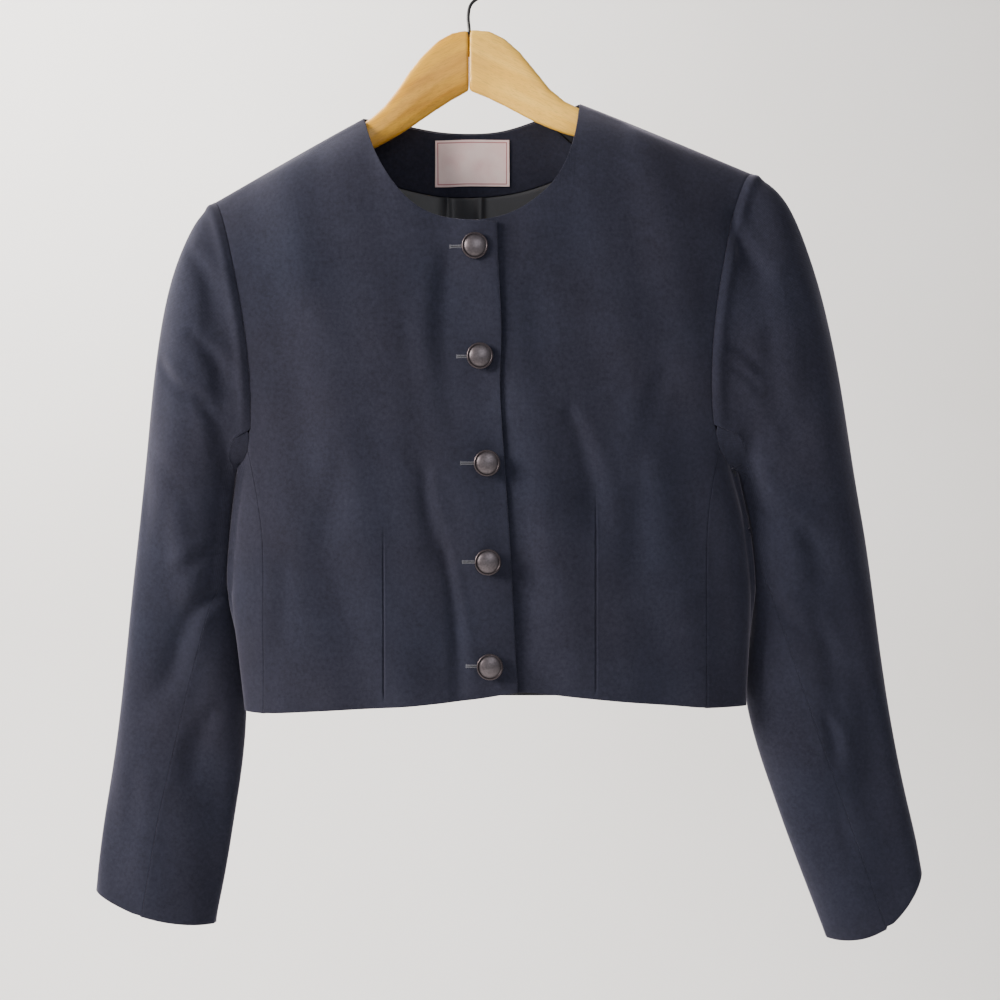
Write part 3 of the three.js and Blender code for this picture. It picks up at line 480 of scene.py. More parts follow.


# %% [markdown]
# ## Creases, placed one by one
# Wool hangs in a few soft troughs: beside the button band, under the bust, at the sleeve
# heads and elbows. A simulation would give folds of its own, and not these, so a table lists
# them. Each is a bowed line seen from the front, with its depth, its half width, and a
# lighter ridge beside it. They press the cloth along the depth of the jacket, so that both
# faces of a wall and both sides of a seam move together.

# %% Table of creases
# Millimetres. A depth under zero is a ridge. Side is the side on which the ridge stands.
CREASES = [
    # face, x0, z0, x1, z1, bow, depth, width, side
    ("front", -33, -408, -18, -474, -4, 1.5, 6.0, 1),
    ("front", -18, -470, -7, -576, 3, 1.7, 5.0, 1),
    ("front", -15, -246, -12, -372, -6, 1.5, 9.0, -1),
    ("front", -47, -300, -40, -420, 7, 0.8, 10.0, 1),
    ("front", -98, -392, -112, -470, 5, 0.9, 9.0, -1),
    ("front", -128, -300, -96, -356, 6, 0.6, 11.0, 1),
    ("front", 77, -366, 97, -444, 4, 1.8, 7.5, 1),
    ("front", 52, -262, 64, -340, -5, 0.7, 11.0, -1),
    ("front", 128, -392, 118, -500, 7, 0.9, 10.0, 1),
    ("front", 150, -330, 138, -390, -4, 0.8, 8.0, -1),
    ("front", 140, -492, 184, -491, -2, 0.9, 3.0, -1),
    ("front", 44, -430, 40, -560, 4, 0.8, 9.0, 1),
    ("front", -140, -480, -150, -560, 3, 0.7, 8.0, -1),
    ("front", -218, -236, -193, -291, 5, 2.6, 7.2, 1),
    ("front", -212, -304, -187, -341, 4, 2.4, 6.1, 1),
    ("front", -206, -352, -190, -384, 3, 1.4, 5.5, -1),
    ("front", -236, -300, -246, -400, 4, 1.1, 8.8, 1),
    ("front", -189, -500, -222, -532, -6, 2.9, 6.6, 1),
    ("front", -192, -470, -224, -490, -4, 1.6, 5.5, -1),
    ("front", -226, -540, -252, -588, 5, 1.9, 8.8, 1),
    ("front", -196, -590, -216, -646, -5, 1.3, 7.7, -1),
    ("front", -262, -640, -272, -720, 3, 1.1, 8.8, 1),
    ("front", 203, -212, 223, -256, -5, 3.0, 6.6, 1),
    ("front", 199, -314, 224, -330, 3, 1.9, 4.0, -1),
    ("front", 201, -330, 222, -344, 3, 1.3, 3.7, -1),
    ("front", 246, -262, 262, -352, 6, 1.3, 9.9, 1),
    ("front", 213, -398, 241, -450, -6, 3.0, 7.7, 1),
    ("front", 246, -440, 272, -486, 5, 1.9, 7.7, -1),
    ("front", 232, -500, 262, -532, -4, 1.6, 6.6, 1),
    ("front", 277, -600, 284, -634, 3, 1.8, 5.5, 1),
    ("front", 296, -556, 316, -640, 5, 1.1, 9.9, -1),
    ("front", 286, -660, 312, -720, -5, 1.1, 8.8, 1),
    ("back", -8, -170, 6, -330, 8, 1.7, 13.0, 1),
    ("back", 10, -330, -6, -560, -9, 2.0, 12.0, -1),
    ("back", -92, -230, -58, -356, 9, 1.8, 11.0, 1),
    ("back", -70, -380, -88, -560, -7, 2.2, 10.0, -1),
    ("back", 104, -222, 72, -350, -9, 1.8, 11.0, -1),
    ("back", 84, -372, 104, -560, 8, 2.2, 10.0, 1),
    ("back", -142, -396, -112, -452, 6, 1.8, 8.0, 1),
    ("back", 162, -392, 134, -452, -6, 1.8, 8.0, -1),
    ("back", -214, -300, -190, -352, 5, 2.2, 6.6, 1),
    ("back", -250, -470, -204, -512, -6, 2.6, 7.7, 1),
    ("back", -256, -512, -214, -546, -5, 1.8, 6.6, -1),
    ("back", -262, -600, -250, -690, 5, 1.3, 8.8, 1),
    ("back", 232, -292, 216, -360, -5, 2.2, 6.6, -1),
    ("back", 296, -450, 246, -506, 6, 2.6, 7.7, 1),
    ("back", 300, -500, 256, -538, 5, 1.8, 6.6, -1),
    ("back", 318, -590, 300, -680, -5, 1.3, 8.8, 1),
    ("front", -238, -324, -190, -357, -8, 2.4, 6.0, 1),
    ("front", -246, -392, -214, -452, 7, 1.4, 9.0, -1),
    ("front", -232, -430, -226, -520, -5, 1.2, 8.0, 1),
    ("front", 232, -300, 246, -380, -6, 1.3, 9.0, -1),
    ("front", 268, -520, 286, -590, 4, 1.4, 8.0, 1),
]
CREASE_STRENGTH = 1.15
RIDGE_SHARE = 0.42
RIDGE_OFFSET = 1.75


def crease_depth(x, z, face):
    """How far all creases of one face press in at places given in metres."""
    total = np.zeros(len(x))
    for side_name, x0, z0, x1, z1, bow, depth, width, side in CREASES:
        if side_name != face:
            continue
        start = np.array((x0, z0)) * MM
        run = np.array((x1, z1)) * MM - start
        length = np.linalg.norm(run)
        along = run / length
        normal = np.array((-along[1], along[0]))
        offset = np.stack((x, z), 1) - start
        t = offset @ along / length
        inside = np.clip(t, 0, 1)
        across = offset @ normal - bow * MM * 4 * inside * (1 - inside)
        beyond = (t - inside) * length
        spread = width * MM * (0.75 + 0.5 * inside)
        distance = (across**2 + beyond**2) / spread**2
        taper = 0.35 + 0.65 * np.sin(np.pi * (0.12 + 0.76 * inside))
        trough = np.exp(-distance)
        ridge = np.exp(-(((across * side) / spread - RIDGE_OFFSET) ** 2) - (beyond / spread) ** 2)
        total += CREASE_STRENGTH * depth * MM * taper * (trough - RIDGE_SHARE * ridge)
    return total


# %% Long soft waves under the creases
# Each wave: its height, its length across and down, and where it starts.
WAVES = [
    (1.1, 128, 520, 0.3), (0.8, 74, 300, 1.9), (0.5, 47, 210, 4.1), (0.6, 190, 90, 2.6),
]


def wave_height(x, z, shift):
    """Gentle unevenness of hanging cloth, which no pressing takes out."""
    total = np.zeros(len(x))
    for height, across, down, phase in WAVES:
        total += height * MM * np.sin(2 * np.pi * (x / (across * MM) + z / (down * MM)) + phase + shift)
    return total


def middle_line(*nodes):
    """The middle of the depth of some solids at each height, measured on them."""
    points = np.concatenate([positions(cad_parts[n].data) for n in nodes])
    steps = np.linspace(points[:, 2].min(), points[:, 2].max(), 26)
    reach = steps[1] - steps[0]
    heights, middles = [], []
    for step in steps:
        near = points[abs(points[:, 2] - step) < reach]
        if len(near) > 6:
            heights.append(step)
            middles.append((near[:, 1].min() + near[:, 1].max()) / 2)
    return np.array(heights), np.array(middles)


FADE_START = 1.5 * MM
FADE_END = 13 * MM


def press(points, middle):
    """Moves cloth in and out by its creases and waves, less and less towards its side edges."""
    x, y, z = points.T
    level = np.interp(z, *middle) if middle is not None else np.full(len(z), CLOTH_Y)
    depth = y - level
    fade = np.clip((abs(depth) - FADE_START) / (FADE_END - FADE_START), 0, 1)
    fade = fade * fade * (3 - 2 * fade)
    front = crease_depth(x, z, "front") + wave_height(x, z, 0.0)
    back = crease_depth(x, z, "back") + wave_height(x, z, 2.2)
    points[:, 1] += np.where(depth < 0, front, -back) * fade
    return points


# %% [markdown]
# ## One function for every cloth piece
# The steps are the same for each panel: copy the solid, find its cells, take off the rim,
# lay the sheet flat for the weave, subdivide both faces, press the creases in, close the rim
# again and round it off, as a turned edge is. Rounded edges side by side make the seams.

# %% Making a cloth piece
WALL = 2.2 * MM
THIN_WALL = 0.9 * MM
cloth_pieces = {}
flat_sizes = {}


def start_cloth(node, name, thickness):
    """The solid as two clean sheets."""
    piece = copy_solid(node, name)
    mesh_edit = bmesh.new()
    mesh_edit.from_mesh(piece.data)
    rim, sheets = split_sheets(mesh_edit, thickness)
    find_cells(mesh_edit)
    odd = sum(1 for f in mesh_edit.faces if len(f.verts) != 4)
    mesh_edit.to_mesh(piece.data)
    mesh_edit.free()
    print(f"{name}: {len(piece.data.polygons)} cells, {rim} on the rim, {sheets} sheets, {odd} odd")
    return piece


def corner_places(piece):
    """Where the corners of a piece's sheets are."""
    mesh_edit = bmesh.new()
    mesh_edit.from_mesh(piece.data)
    places = [v.co.copy() for v in rim_corners(mesh_edit)]
    mesh_edit.free()
    return places


def refine(piece, meeting_points, levels):
    """Pins and subdivides the sheets."""
    mesh_edit = bmesh.new()
    mesh_edit.from_mesh(piece.data)
    pin(mesh_edit, meeting_points)
    mesh_edit.to_mesh(piece.data)
    mesh_edit.free()
    pick(piece)
    modify(piece, "SUBSURF", levels=levels, render_levels=levels, boundary_smooth="PRESERVE_CORNERS")


# %% [markdown]
# The sheets are joined again by one row of faces between their rims. Each rim is walked in
# order, and the inner one is turned until it lies best along the outer one. A small bevel
# then rounds both edges, as cloth does where it is turned.

# %% Closing a rim
def rim_order(mesh, kind):
    """The vertices on the rim of one sheet, walked in order."""
    uses = {}
    for polygon in mesh.polygons:
        if polygon.material_index == kind:
            for pair in polygon.edge_keys:
                uses[pair] = uses.get(pair, 0) + 1
    after = {}
    for (a, b), count in uses.items():
        if count == 1:
            after.setdefault(a, []).append(b)
            after.setdefault(b, []).append(a)
    ring = [next(iter(after))]
    while True:
        onward = [v for v in after[ring[-1]] if len(ring) < 2 or v != ring[-2]]
        if onward[0] == ring[0] and len(ring) > 2:
            return np.array(ring)
        ring.append(onward[0])


def best_turn(outer, inner):
    """The order of the inner rim's points in which they lie nearest to the outer ones."""
    best = None
    count = len(outer)
    for way in (1, -1):
        places = np.arange(count)[::way]
        for start in range(count):
            order = np.roll(places, start)
            apart = ((outer[::8] - inner[order[::8]]) ** 2).sum()
            if best is None or apart < best[0]:
                best = (apart, order)
    return best[1]


def close_rim(piece, roll):
    """Joins the two sheets along their rims, and rounds the edges."""
    mesh = piece.data
    points = positions(mesh)
    outer = rim_order(mesh, OUTER)
    inner = rim_order(mesh, INNER)
    inner = inner[best_turn(points[outer], points[inner])]
    mesh_edit = bmesh.new()
    mesh_edit.from_mesh(mesh)
    mesh_edit.verts.ensure_lookup_table()
    layer = mesh_edit.loops.layers.uv["pattern"]
    rim = []
    for k in range(len(outer)):
        ring = (outer[k - 1], outer[k], inner[k], inner[k - 1])
        face = mesh_edit.faces.new([mesh_edit.verts[i] for i in ring])
        face.material_index = RIM
        rim.append(face)
        for loop in face.loops:
            loop[layer].uv = (loop.vert.co.x, loop.vert.co.z + loop.vert.co.y)
    edges = [e for f in rim for e in f.edges if any(g.material_index != RIM for g in e.link_faces)]
    bmesh.ops.recalc_face_normals(mesh_edit, faces=mesh_edit.faces)
    bmesh.ops.bevel(mesh_edit, geom=edges, offset=roll, offset_type="OFFSET", segments=2,
                    profile=0.55, affect="EDGES", clamp_overlap=True, material=RIM)
    mesh_edit.to_mesh(mesh)
    mesh_edit.free()


# %% [markdown]
# ## Seams
# In the model the panels stop a little short of each other, so that no two solids touch.
# Sewn panels meet, so each rim point looks for the rim beside it, and both go half way.
# The cloth near the seam follows, less and less with the distance. A seam is then two
# rounded edges side by side, which reads as a fine dark line, as on the jacket.

# %% Bringing sewn edges together
SEAM_REACH = 7 * MM
SEAM_FULL = 6 * MM
SEAM_SOFT = 9 * MM
SEAM_SPLIT = 0.05 * MM
NOTHING_NEAR = 1.0
NOT_SEWN = {
    ("right_front", "left_front"), ("right_sleeve_upper", "left_sleeve_upper"),
}


def smoothstep(values, low, high):
    """Rises softly from 0 at the low value to 1 at the high one."""
    t = np.clip((values - low) / (high - low), 0, 1)
    return t * t * (3 - 2 * t)


def nearest_on_rim(points, rim):
    """For each point, the nearest place on a closed rim."""
    after = np.roll(rim, -1, axis=0)
    run = after - rim
    best = np.full(len(points), np.inf)
    found = np.zeros((len(points), 3))
    for k in range(len(rim)):
        t = ((points - rim[k]) @ run[k]) / max(float(run[k] @ run[k]), 1e-12)
        spot = rim[k] + np.clip(t, 0, 1)[:, None] * run[k]
        apart = ((points - spot) ** 2).sum(1)
        closer = apart < best
        best[closer] = apart[closer]
        found[closer] = spot[closer]
    return np.sqrt(best), found


def spread(points, rim, moves, reach):
    """Carries the rim's moves into the cloth, fading out over a reach."""
    total = np.zeros_like(points)
    for low in range(0, len(points), 4000):
        part = points[low:low + 4000]
        apart = np.sqrt(((part[:, None, :] - rim[None]) ** 2).sum(2))
        weight = 1 / (apart + 0.02 * MM) ** 4
        moved = (weight @ moves) / weight.sum(1)[:, None]
        total[low:low + 4000] = moved * (1 - smoothstep(apart.min(1), 0, reach))[:, None]
    return total


def sheet_vertices(mesh, kind):
    """The vertices of one face of the cloth."""
    return np.unique([i for p in mesh.polygons if p.material_index == kind for i in p.vertices])


def sew(pieces):
    """Moves the rims of neighbouring panels to the line half way between them."""
    points = {name: positions(piece.data) for name, piece in pieces.items()}
    rims = {}
    for name, piece in pieces.items():
        for kind in (OUTER, INNER):
            rims[name, kind] = rim_order(piece.data, kind)
    moved = {}
    for (name, kind), rim in rims.items():
        own = points[name][rim]
        best = np.full(len(own), NOTHING_NEAR)
        goal = own.copy()
        for other in pieces:
            if other == name or (name, other) in NOT_SEWN or (other, name) in NOT_SEWN:
                continue
            line = points[other][rims[other, kind]]
            low, high = line.min(0) - SEAM_REACH, line.max(0) + SEAM_REACH
            close = ((own > low) & (own < high)).all(1)
            if not close.any():
                continue
            apart, spot = nearest_on_rim(own[close], line)
            rows = np.flatnonzero(close)[apart < best[close]]
            keep = apart < best[close]
            best[rows] = apart[keep]
            goal[rows] = spot[keep]
        pull = (1 - smoothstep(best, SEAM_FULL, SEAM_REACH))[:, None]
        way = (goal - own) / np.maximum(best, 1e-9)[:, None]
        moved[name, kind] = pull * (way * np.maximum(best / 2 - SEAM_SPLIT, 0)[:, None])
    for (name, kind), moves in moved.items():
        sheet = sheet_vertices(pieces[name].data, kind)
        rim = points[name][rims[name, kind]]
        cloth = points[name][sheet]
        near = spread(cloth, rim, moves, SEAM_SOFT)
        flat = pieces[name].data
        places = positions(flat)
        places[sheet] = cloth + near
        flat.vertices.foreach_set("co", places.ravel())
    widest = max(float(np.sqrt((moves**2).sum(1)).max()) for moves in moved.values())
    print("seams closed, the widest pull in mm:", round(widest / MM, 2))


# %% Pieces to make
EDGE_ROLL = 0.72 * MM
# Piece, its solid, how far its length leans from upright in degrees, and its family
PANELS = [
    ("right_front", "front_right", 0, "body"),
    ("left_front", "front_left", 0, "body"),
    ("jacket_back", "back", 0, "body"),
    ("right_side_panel", "side_panel_right", 0, "body"),
    ("left_side_panel", "side_panel_left", 0, "body"),
    ("right_sleeve_upper", "sleeve_right_upper", -8, "right_sleeve"),
    ("right_sleeve_under", "sleeve_right_under", -8, "right_sleeve"),
    ("left_sleeve_upper", "sleeve_left_upper", 13, "left_sleeve"),
    ("left_sleeve_under", "sleeve_left_under", 13, "left_sleeve"),
]
middles = {
    "body": None,
    "right_sleeve": middle_line("sleeve_right_upper", "sleeve_right_under"),
    "left_sleeve": middle_line("sleeve_left_upper", "sleeve_left_under"),
}

for name, node, lean, family in PANELS:
    cloth_pieces[name] = start_cloth(node, name, WALL)
corners = {name: corner_places(piece) for name, piece in cloth_pieces.items()}
print("corners:", {name: len(places) for name, places in corners.items()})

for name, node, lean, family in PANELS:
    piece = cloth_pieces[name]
    others = [spot for other, places in corners.items() if other != name for spot in places]
    flat_sizes[name] = lay_flat(piece, lean, name == "jacket_back")
    refine(piece, others, 3)
    points = press(positions(piece.data), middles[family])
    piece.data.vertices.foreach_set("co", points.ravel())
for side in ("right", "left"):
    sew({part: cloth_pieces[part] for part in (f"{side}_sleeve_upper", f"{side}_sleeve_under")})
sew(cloth_pieces)

# %% [markdown]
# ## Where the sleeves rest on the body
# Below the armhole a hanging sleeve lies against the side of the body, and both are pressed
# flat there. For each point we look straight across to the other surface. Where the other
# is near, both come half way and stop just short of touching, less and less further off.

# %% Pressing sleeves and sides together
REST_GAP = 0.3 * MM
PRESS_FULL = 6 * MM
PRESS_NONE = 17 * MM
PRESS_TOP = (-0.404, -0.397)
PRESS_BOTTOM = (-0.54, -0.49)
BODY_MIDDLE = 20 * MM
SIDE_FROM = 140 * MM


def outer_surface(pieces):
    """The outer faces of some pieces, ready to be hit by rays."""
    points, rings = [], []
    for piece in pieces:
        first = len(points)
        points.extend(vertex.co[:] for vertex in piece.data.vertices)
        rings.extend(tuple(first + i for i in p.vertices) for p in piece.data.polygons
                     if p.material_index == OUTER)
    return BVHTree.FromPolygons(points, rings)


def press_moves(piece, surface, way):
    """How far each point of a piece goes across, toward a surface."""
    points = positions(piece.data)
    level = points[:, 2]
    share = smoothstep(level, *PRESS_BOTTOM) * (1 - smoothstep(level, *PRESS_TOP))
    inner = np.zeros(len(points), bool)
    inner[sheet_vertices(piece.data, INNER)] = True
    moves = np.zeros(len(points))
    for i in np.flatnonzero((share > 0) & (abs(points[:, 0] - BODY_MIDDLE) > SIDE_FROM)):
        apart = surface.ray_cast(Vector(points[i]), Vector((way, 0, 0)))[3]
        if apart is None:
            continue
        apart -= WALL if inner[i] else 0
        near = 1 - smoothstep(apart, PRESS_FULL, PRESS_NONE)
        moves[i] = way * share[i] * near * max(apart - REST_GAP, 0) / 2
    return moves


for side, way in (("right", 1), ("left", -1)):
    sleeve = [cloth_pieces[f"{side}_sleeve_{part}"] for part in ("upper", "under")]
    body = [cloth_pieces[n] for n in (f"{side}_side_panel", f"{side}_front", "jacket_back")]
    meets = {"sleeve": outer_surface(body), "body": outer_surface(sleeve)}
    plans = [(piece, press_moves(piece, meets["sleeve"], way)) for piece in sleeve]
    plans += [(piece, press_moves(piece, meets["body"], -way)) for piece in body]
    for piece, moves in plans:
        points = positions(piece.data)
        points[:, 0] += moves
        piece.data.vertices.foreach_set("co", points.ravel())
    print(side, "sleeve pressed to the side by up to",
          round(max(abs(moves).max() for _, moves in plans) / MM, 2), "mm")

# %% Easing the fronts below the neck corners
# The solids bend sharply below the corner of the neckline, where cloth eases over. In boxes
# given as x and z from and to, in metres, each point moves to the plane that fits its
# neighbours best. The shoulder seam stays where it is.
EASED = {
    "right_front": ((-0.125, -0.034), (-0.290, -0.095)),
    "left_front": ((0.038, 0.130), (-0.290, -0.095)),
}
EASE_FADE = 14 * MM
EASE_REACH = 24 * MM
EASE_WIDTH = 11 * MM
EASE_SPAN = 80 * MM


def ease(piece, across, down, seam):
    """Evens the depth of both faces inside a box, away from a seam."""
    mesh = piece.data
    points = positions(mesh)
    share = smoothstep(points[:, 0], across[0], across[0] + EASE_FADE)
    share *= 1 - smoothstep(points[:, 0], across[1] - EASE_FADE, across[1])
    share *= smoothstep(points[:, 2], down[0], down[0] + 3 * EASE_FADE)
    moves = np.zeros(len(points))
    for kind in (OUTER, INNER):
        sheet = sheet_vertices(mesh, kind)
        sheet = sheet[abs(points[sheet, 0] - sum(across) / 2) < EASE_SPAN]
        busy = sheet[share[sheet] > 0]
        share[busy] *= smoothstep(nearest_on_rim(points[busy], seam)[0], 1 * MM, EASE_FADE)
        tree = KDTree(len(sheet))
        for i in sheet:
            tree.insert((points[i, 0], 0, points[i, 2]), int(i))
        tree.balance()
        for i in busy:
            near = tree.find_range((points[i, 0], 0, points[i, 2]), EASE_REACH)
            rows = [index for _, index, _ in near]
            apart = np.array([distance for _, _, distance in near])
            offset = points[rows] - points[i]
            plane = np.stack((np.ones(len(rows)), offset[:, 0], offset[:, 2]), 1)
            pull = np.exp(-((apart / EASE_WIDTH) ** 2))[:, None]
            fit = np.linalg.solve(plane.T @ (pull * plane), plane.T @ (pull[:, 0] * offset[:, 1]))
            moves[i] = share[i] * fit[0]
    points[:, 1] += moves
    mesh.vertices.foreach_set("co", points.ravel())
    print(f"{piece.name}: eased by up to {abs(moves).max() / MM:.2f} mm")


back_mesh = cloth_pieces["jacket_back"].data
back_rim = positions(back_mesh)[rim_order(back_mesh, OUTER)]
for name, (across, down) in EASED.items():
    ease(cloth_pieces[name], across, down, back_rim)

# %% [markdown]
# ## Sleeve heads and darts
# A set-in sleeve is eased into its armhole over a strip of wadding, so a low soft roll runs
# along the seam on the sleeve's side. The front panels are each taken in by one dart, a
# fine pressed line from under the bust to the hem. Both are raised in the outer face only.

# %% Rolls at the sleeve heads
HEAD_ROLL = 2.1 * MM
HEAD_DISTANCE = 5.5 * MM
HEAD_WIDTH = 4.2 * MM
HEAD_LEVELS = (-0.395, -0.34)


def roll_head(piece, body_panels):
    """Swells the outer face of a sleeve along its armhole."""
    mesh = piece.data
    sheet = sheet_vertices(mesh, OUTER)
    points = positions(mesh)
    normals = np.array([vertex.normal[:] for vertex in mesh.vertices])[sheet]
    apart = np.full(len(sheet), NOTHING_NEAR)
    for panel in body_panels:
        rim = positions(panel.data)[rim_order(panel.data, OUTER)]
        apart = np.minimum(apart, nearest_on_rim(points[sheet], rim)[0])
    height = HEAD_ROLL * np.exp(-(((apart - HEAD_DISTANCE) / HEAD_WIDTH) ** 2))
    height *= smoothstep(points[sheet, 2], *HEAD_LEVELS)
    points[sheet] += normals * height[:, None]
    mesh.vertices.foreach_set("co", points.ravel())
    print(f"{piece.name}: head rolled by {height.max() / MM:.2f} mm")


body_panels = [cloth_pieces[n] for n in ("right_front", "left_front", "jacket_back")]
for name in ("right_sleeve_upper", "left_sleeve_upper"):
    roll_head(cloth_pieces[name], body_panels)

# %% Darts
# Where each dart stands and where it starts and ends, in millimetres
DARTS = {"right_front": (-64, -445, -582), "left_front": (97, -415, -576)}
# Distances from the line at which the cloth is cut for it, and how deep it lies there
DART_ACROSS = (0, 0.5, 1.3, 2.4)
DART_DEPTH = (0.75, 0.28, -0.12, 0.0)
DART_NEAR = 9 * MM
# How far its depth takes to grow from the top and from the hem, in millimetres
DART_FADES = (40, 3)


def sew_dart(piece, x, top, bottom):
    """Cuts the outer face along the dart's line, and presses the line in."""
    mesh_edit = bmesh.new()
    mesh_edit.from_mesh(piece.data)
    for place in sorted({side * a for a in DART_ACROSS for side in (-1, 1)}):
        faces = [f for f in mesh_edit.faces if f.material_index == OUTER
                 and abs(f.calc_center_median().x - x * MM) < DART_NEAR
                 and bottom * MM < f.calc_center_median().z < top * MM]
        around = dict.fromkeys(part for f in faces for part in (*f.edges, *f.verts))
        bmesh.ops.bisect_plane(mesh_edit, geom=faces + list(around), dist=0.01 * MM,
                               plane_co=((x + place) * MM, 0, 0), plane_no=(1, 0, 0))
    for face in mesh_edit.faces:
        if face.material_index != OUTER:
            continue
        for vertex in face.verts:
            vertex.tag = abs(vertex.co.x - x * MM) < DART_NEAR
    for vertex in mesh_edit.verts:
        if not vertex.tag or not bottom * MM < vertex.co.z < top * MM:
            continue
        depth = np.interp(abs(vertex.co.x / MM - x), DART_ACROSS, DART_DEPTH)
        height = vertex.co.z / MM
        fade = min(1.0, (top - height) / DART_FADES[0], (height - bottom) / DART_FADES[1])
        vertex.co.y += depth * fade * MM
    mesh_edit.to_mesh(piece.data)
    mesh_edit.free()


# %% Closing and finishing the panels
def finish_cloth(piece, node, materials):
    """Gives a panel its cloth for outer face, inner face and rim."""
    for material in materials:
        piece.data.materials.append(material)
    pick(piece)
    ops.object.shade_smooth_by_angle(angle=math.radians(50))
    put_on(piece, node)


for name, node, lean, family in PANELS:
    piece = cloth_pieces[name]
    close_rim(piece, EDGE_ROLL)
    if name in DARTS:
        sew_dart(piece, *DARTS[name])
    finish_cloth(piece, node, (wool, satin, wool))
    width, length, area = flat_sizes[name]
    print(f"{name}: cut {width:.3f} x {length:.3f} m, {area:.4f} m2, {triangles(piece)} triangles")

# %% [markdown]
# ## Facing, back lining and label
# Inside the neck show three thin layers: a wool facing round the back neck, the satin lining
# below it with its pleats, and a woven label. They are made as the panels are, and pressed by
# the same creases, so they keep their distance to the back. The real label's words are left
# out: it is woven bare, with a plain rule near its edge.

# %% Label cloth
LABEL_SIZE = (60 * MM, 37 * MM)
RULE_INSET = 2.6 * MM
RULE_WIDTH = 0.42 * MM
LABEL_PALE = (0.92, 0.74, 0.72)
LABEL_PINK = (0.84, 0.58, 0.58)
LABEL_ROSE = (0.42, 0.09, 0.11)
LABEL_MIDDLE = (2 * MM, -161.6 * MM)

label_cloth, tree, shader = new_material("label_cloth", 0.62, Sheen_Weight=0.2, IOR=1.45)
pattern = add_node(tree, "ShaderNodeUVMap", uv_map="pattern").outputs["UV"]
place = object_place(tree)
across = add_node(tree, "ShaderNodeSeparateXYZ", [("Vector", place)]).outputs
aside = calculate(tree, "ABSOLUTE", calculate(tree, "SUBTRACT", across["X"], LABEL_MIDDLE[0]))
away = calculate(tree, "ABSOLUTE", calculate(tree, "SUBTRACT", across["Z"], LABEL_MIDDLE[1]))
beside = calculate(tree, "SUBTRACT", aside, LABEL_SIZE[0] / 2)
above = calculate(tree, "SUBTRACT", away, LABEL_SIZE[1] / 2)
edge = calculate(tree, "MAXIMUM", beside, above)
off_rule = calculate(tree, "ABSOLUTE", calculate(tree, "ADD", edge, RULE_INSET))
on_rule = calculate(tree, "LESS_THAN", off_rule, RULE_WIDTH)
tone = ramp(tree, noise(tree, place, 60, 3.0), [(0.2, LABEL_PINK), (0.6, LABEL_PALE)])
warp = threads(tree, pattern, 0.34 * MM, "X")
weft = threads(tree, pattern, 0.5 * MM, "Y")
weave = calculate(tree, "MULTIPLY", warp, weft)
tone = mix_colours(tree, calculate(tree, "MULTIPLY", on_rule, 0.8), tone, LABEL_ROSE)
shade = ramp(tree, weave, [(0.0, grey(0.84)), (1.0, grey(1.08))])
tone = mix_colours(tree, 1.0, tone, shade, "MULTIPLY")
paint(tree, shader, tone)
raise_bump(tree, shader, weave, 0.5, 0.08 * MM)

# %% Making the inner layers
# Piece, its solid, its thickness, levels of subdivision, edge roll, materials, slot
INNER_LAYERS = [
    ("neck_facing", "back_neck_facing", THIN_WALL, 3, 0.3 * MM, wool, "wool", "jacket_back"),
    ("back_lining", "lining_back", THIN_WALL, 3, 0.2 * MM, satin, "satin_lining", "jacket_back"),
    ("neck_label", "label", 0.7 * MM, 4, 0.2 * MM, label_cloth, "label_cloth", "neck_facing"),
]
for name, node, thick, levels, roll, material, slot, carrier in INNER_LAYERS:
    piece = start_cloth(node, name, thick)
    width, length, area = lay_flat(piece, 0, False)
    refine(piece, [], levels)
    points = press(positions(piece.data), None)
    piece.data.vertices.foreach_set("co", points.ravel())
    close_rim(piece, roll)
    finish_cloth(piece, node, (material, material, material))
    cloth_pieces[name] = piece
    print(f"{name}: cut {width:.3f} x {length:.3f} m, {area:.4f} m2, {triangles(piece)} triangles")

# %% [markdown]
# ## Buttonholes
# Each buttonhole is a slit, overcast with close purl stitches of matching thread, with a bar
# at its end. One stitch is modelled from a small sphere, and copied along both lips. The slit
# itself is not cut: its shade is painted, as a row of small flat near-black marks between the lips.
# Every copy is set on the cloth itself, found by a ray from the front.

# %% Finding the cloth under a place
def surface_of(piece):
    """All faces of a piece, ready to be hit by rays."""
    mesh = piece.data
    points = [vertex.co[:] for vertex in mesh.vertices]
    return BVHTree.FromPolygons(points, [tuple(p.vertices) for p in mesh.polygons])


def on_cloth(surface, x, z):
    """The place and outward direction of the cloth straight behind a point of the picture."""
    place, normal, _, _ = surface.ray_cast(Vector((x, -0.3, z)), Vector((0, 1, 0)))
    return place, normal


def join_copies(name, model, placements):
    """One mesh of many copies of a small one, each turned and moved by a matrix."""
    base = positions(model.data)
    faces = [tuple(p.vertices) for p in model.data.polygons]
    points = []
    rings = []
    for matrix in placements:
        grid = np.array(matrix)
        rings.extend(tuple(i + len(points) * len(base) for i in ring) for ring in faces)
        points.append(base @ grid[:3, :3].T + grid[:3, 3])
    mesh = bpy.data.meshes.new(name)
    mesh.from_pydata(np.concatenate(points).tolist(), [], rings)
    piece = bpy.data.objects.new(name, mesh)
    bpy.context.scene.collection.objects.link(piece)
    pick(piece)
    ops.object.shade_smooth()
    return piece


def small_sphere(size, segments=8, rings=5):
    """A tiny ellipsoid, to be copied and then removed."""
    ops.mesh.primitive_uv_sphere_add(segments=segments, ring_count=rings, radius=0.5)
    model = bpy.context.object
    model.scale = size
    ops.object.transform_apply(location=False, rotation=False, scale=True)
    return model


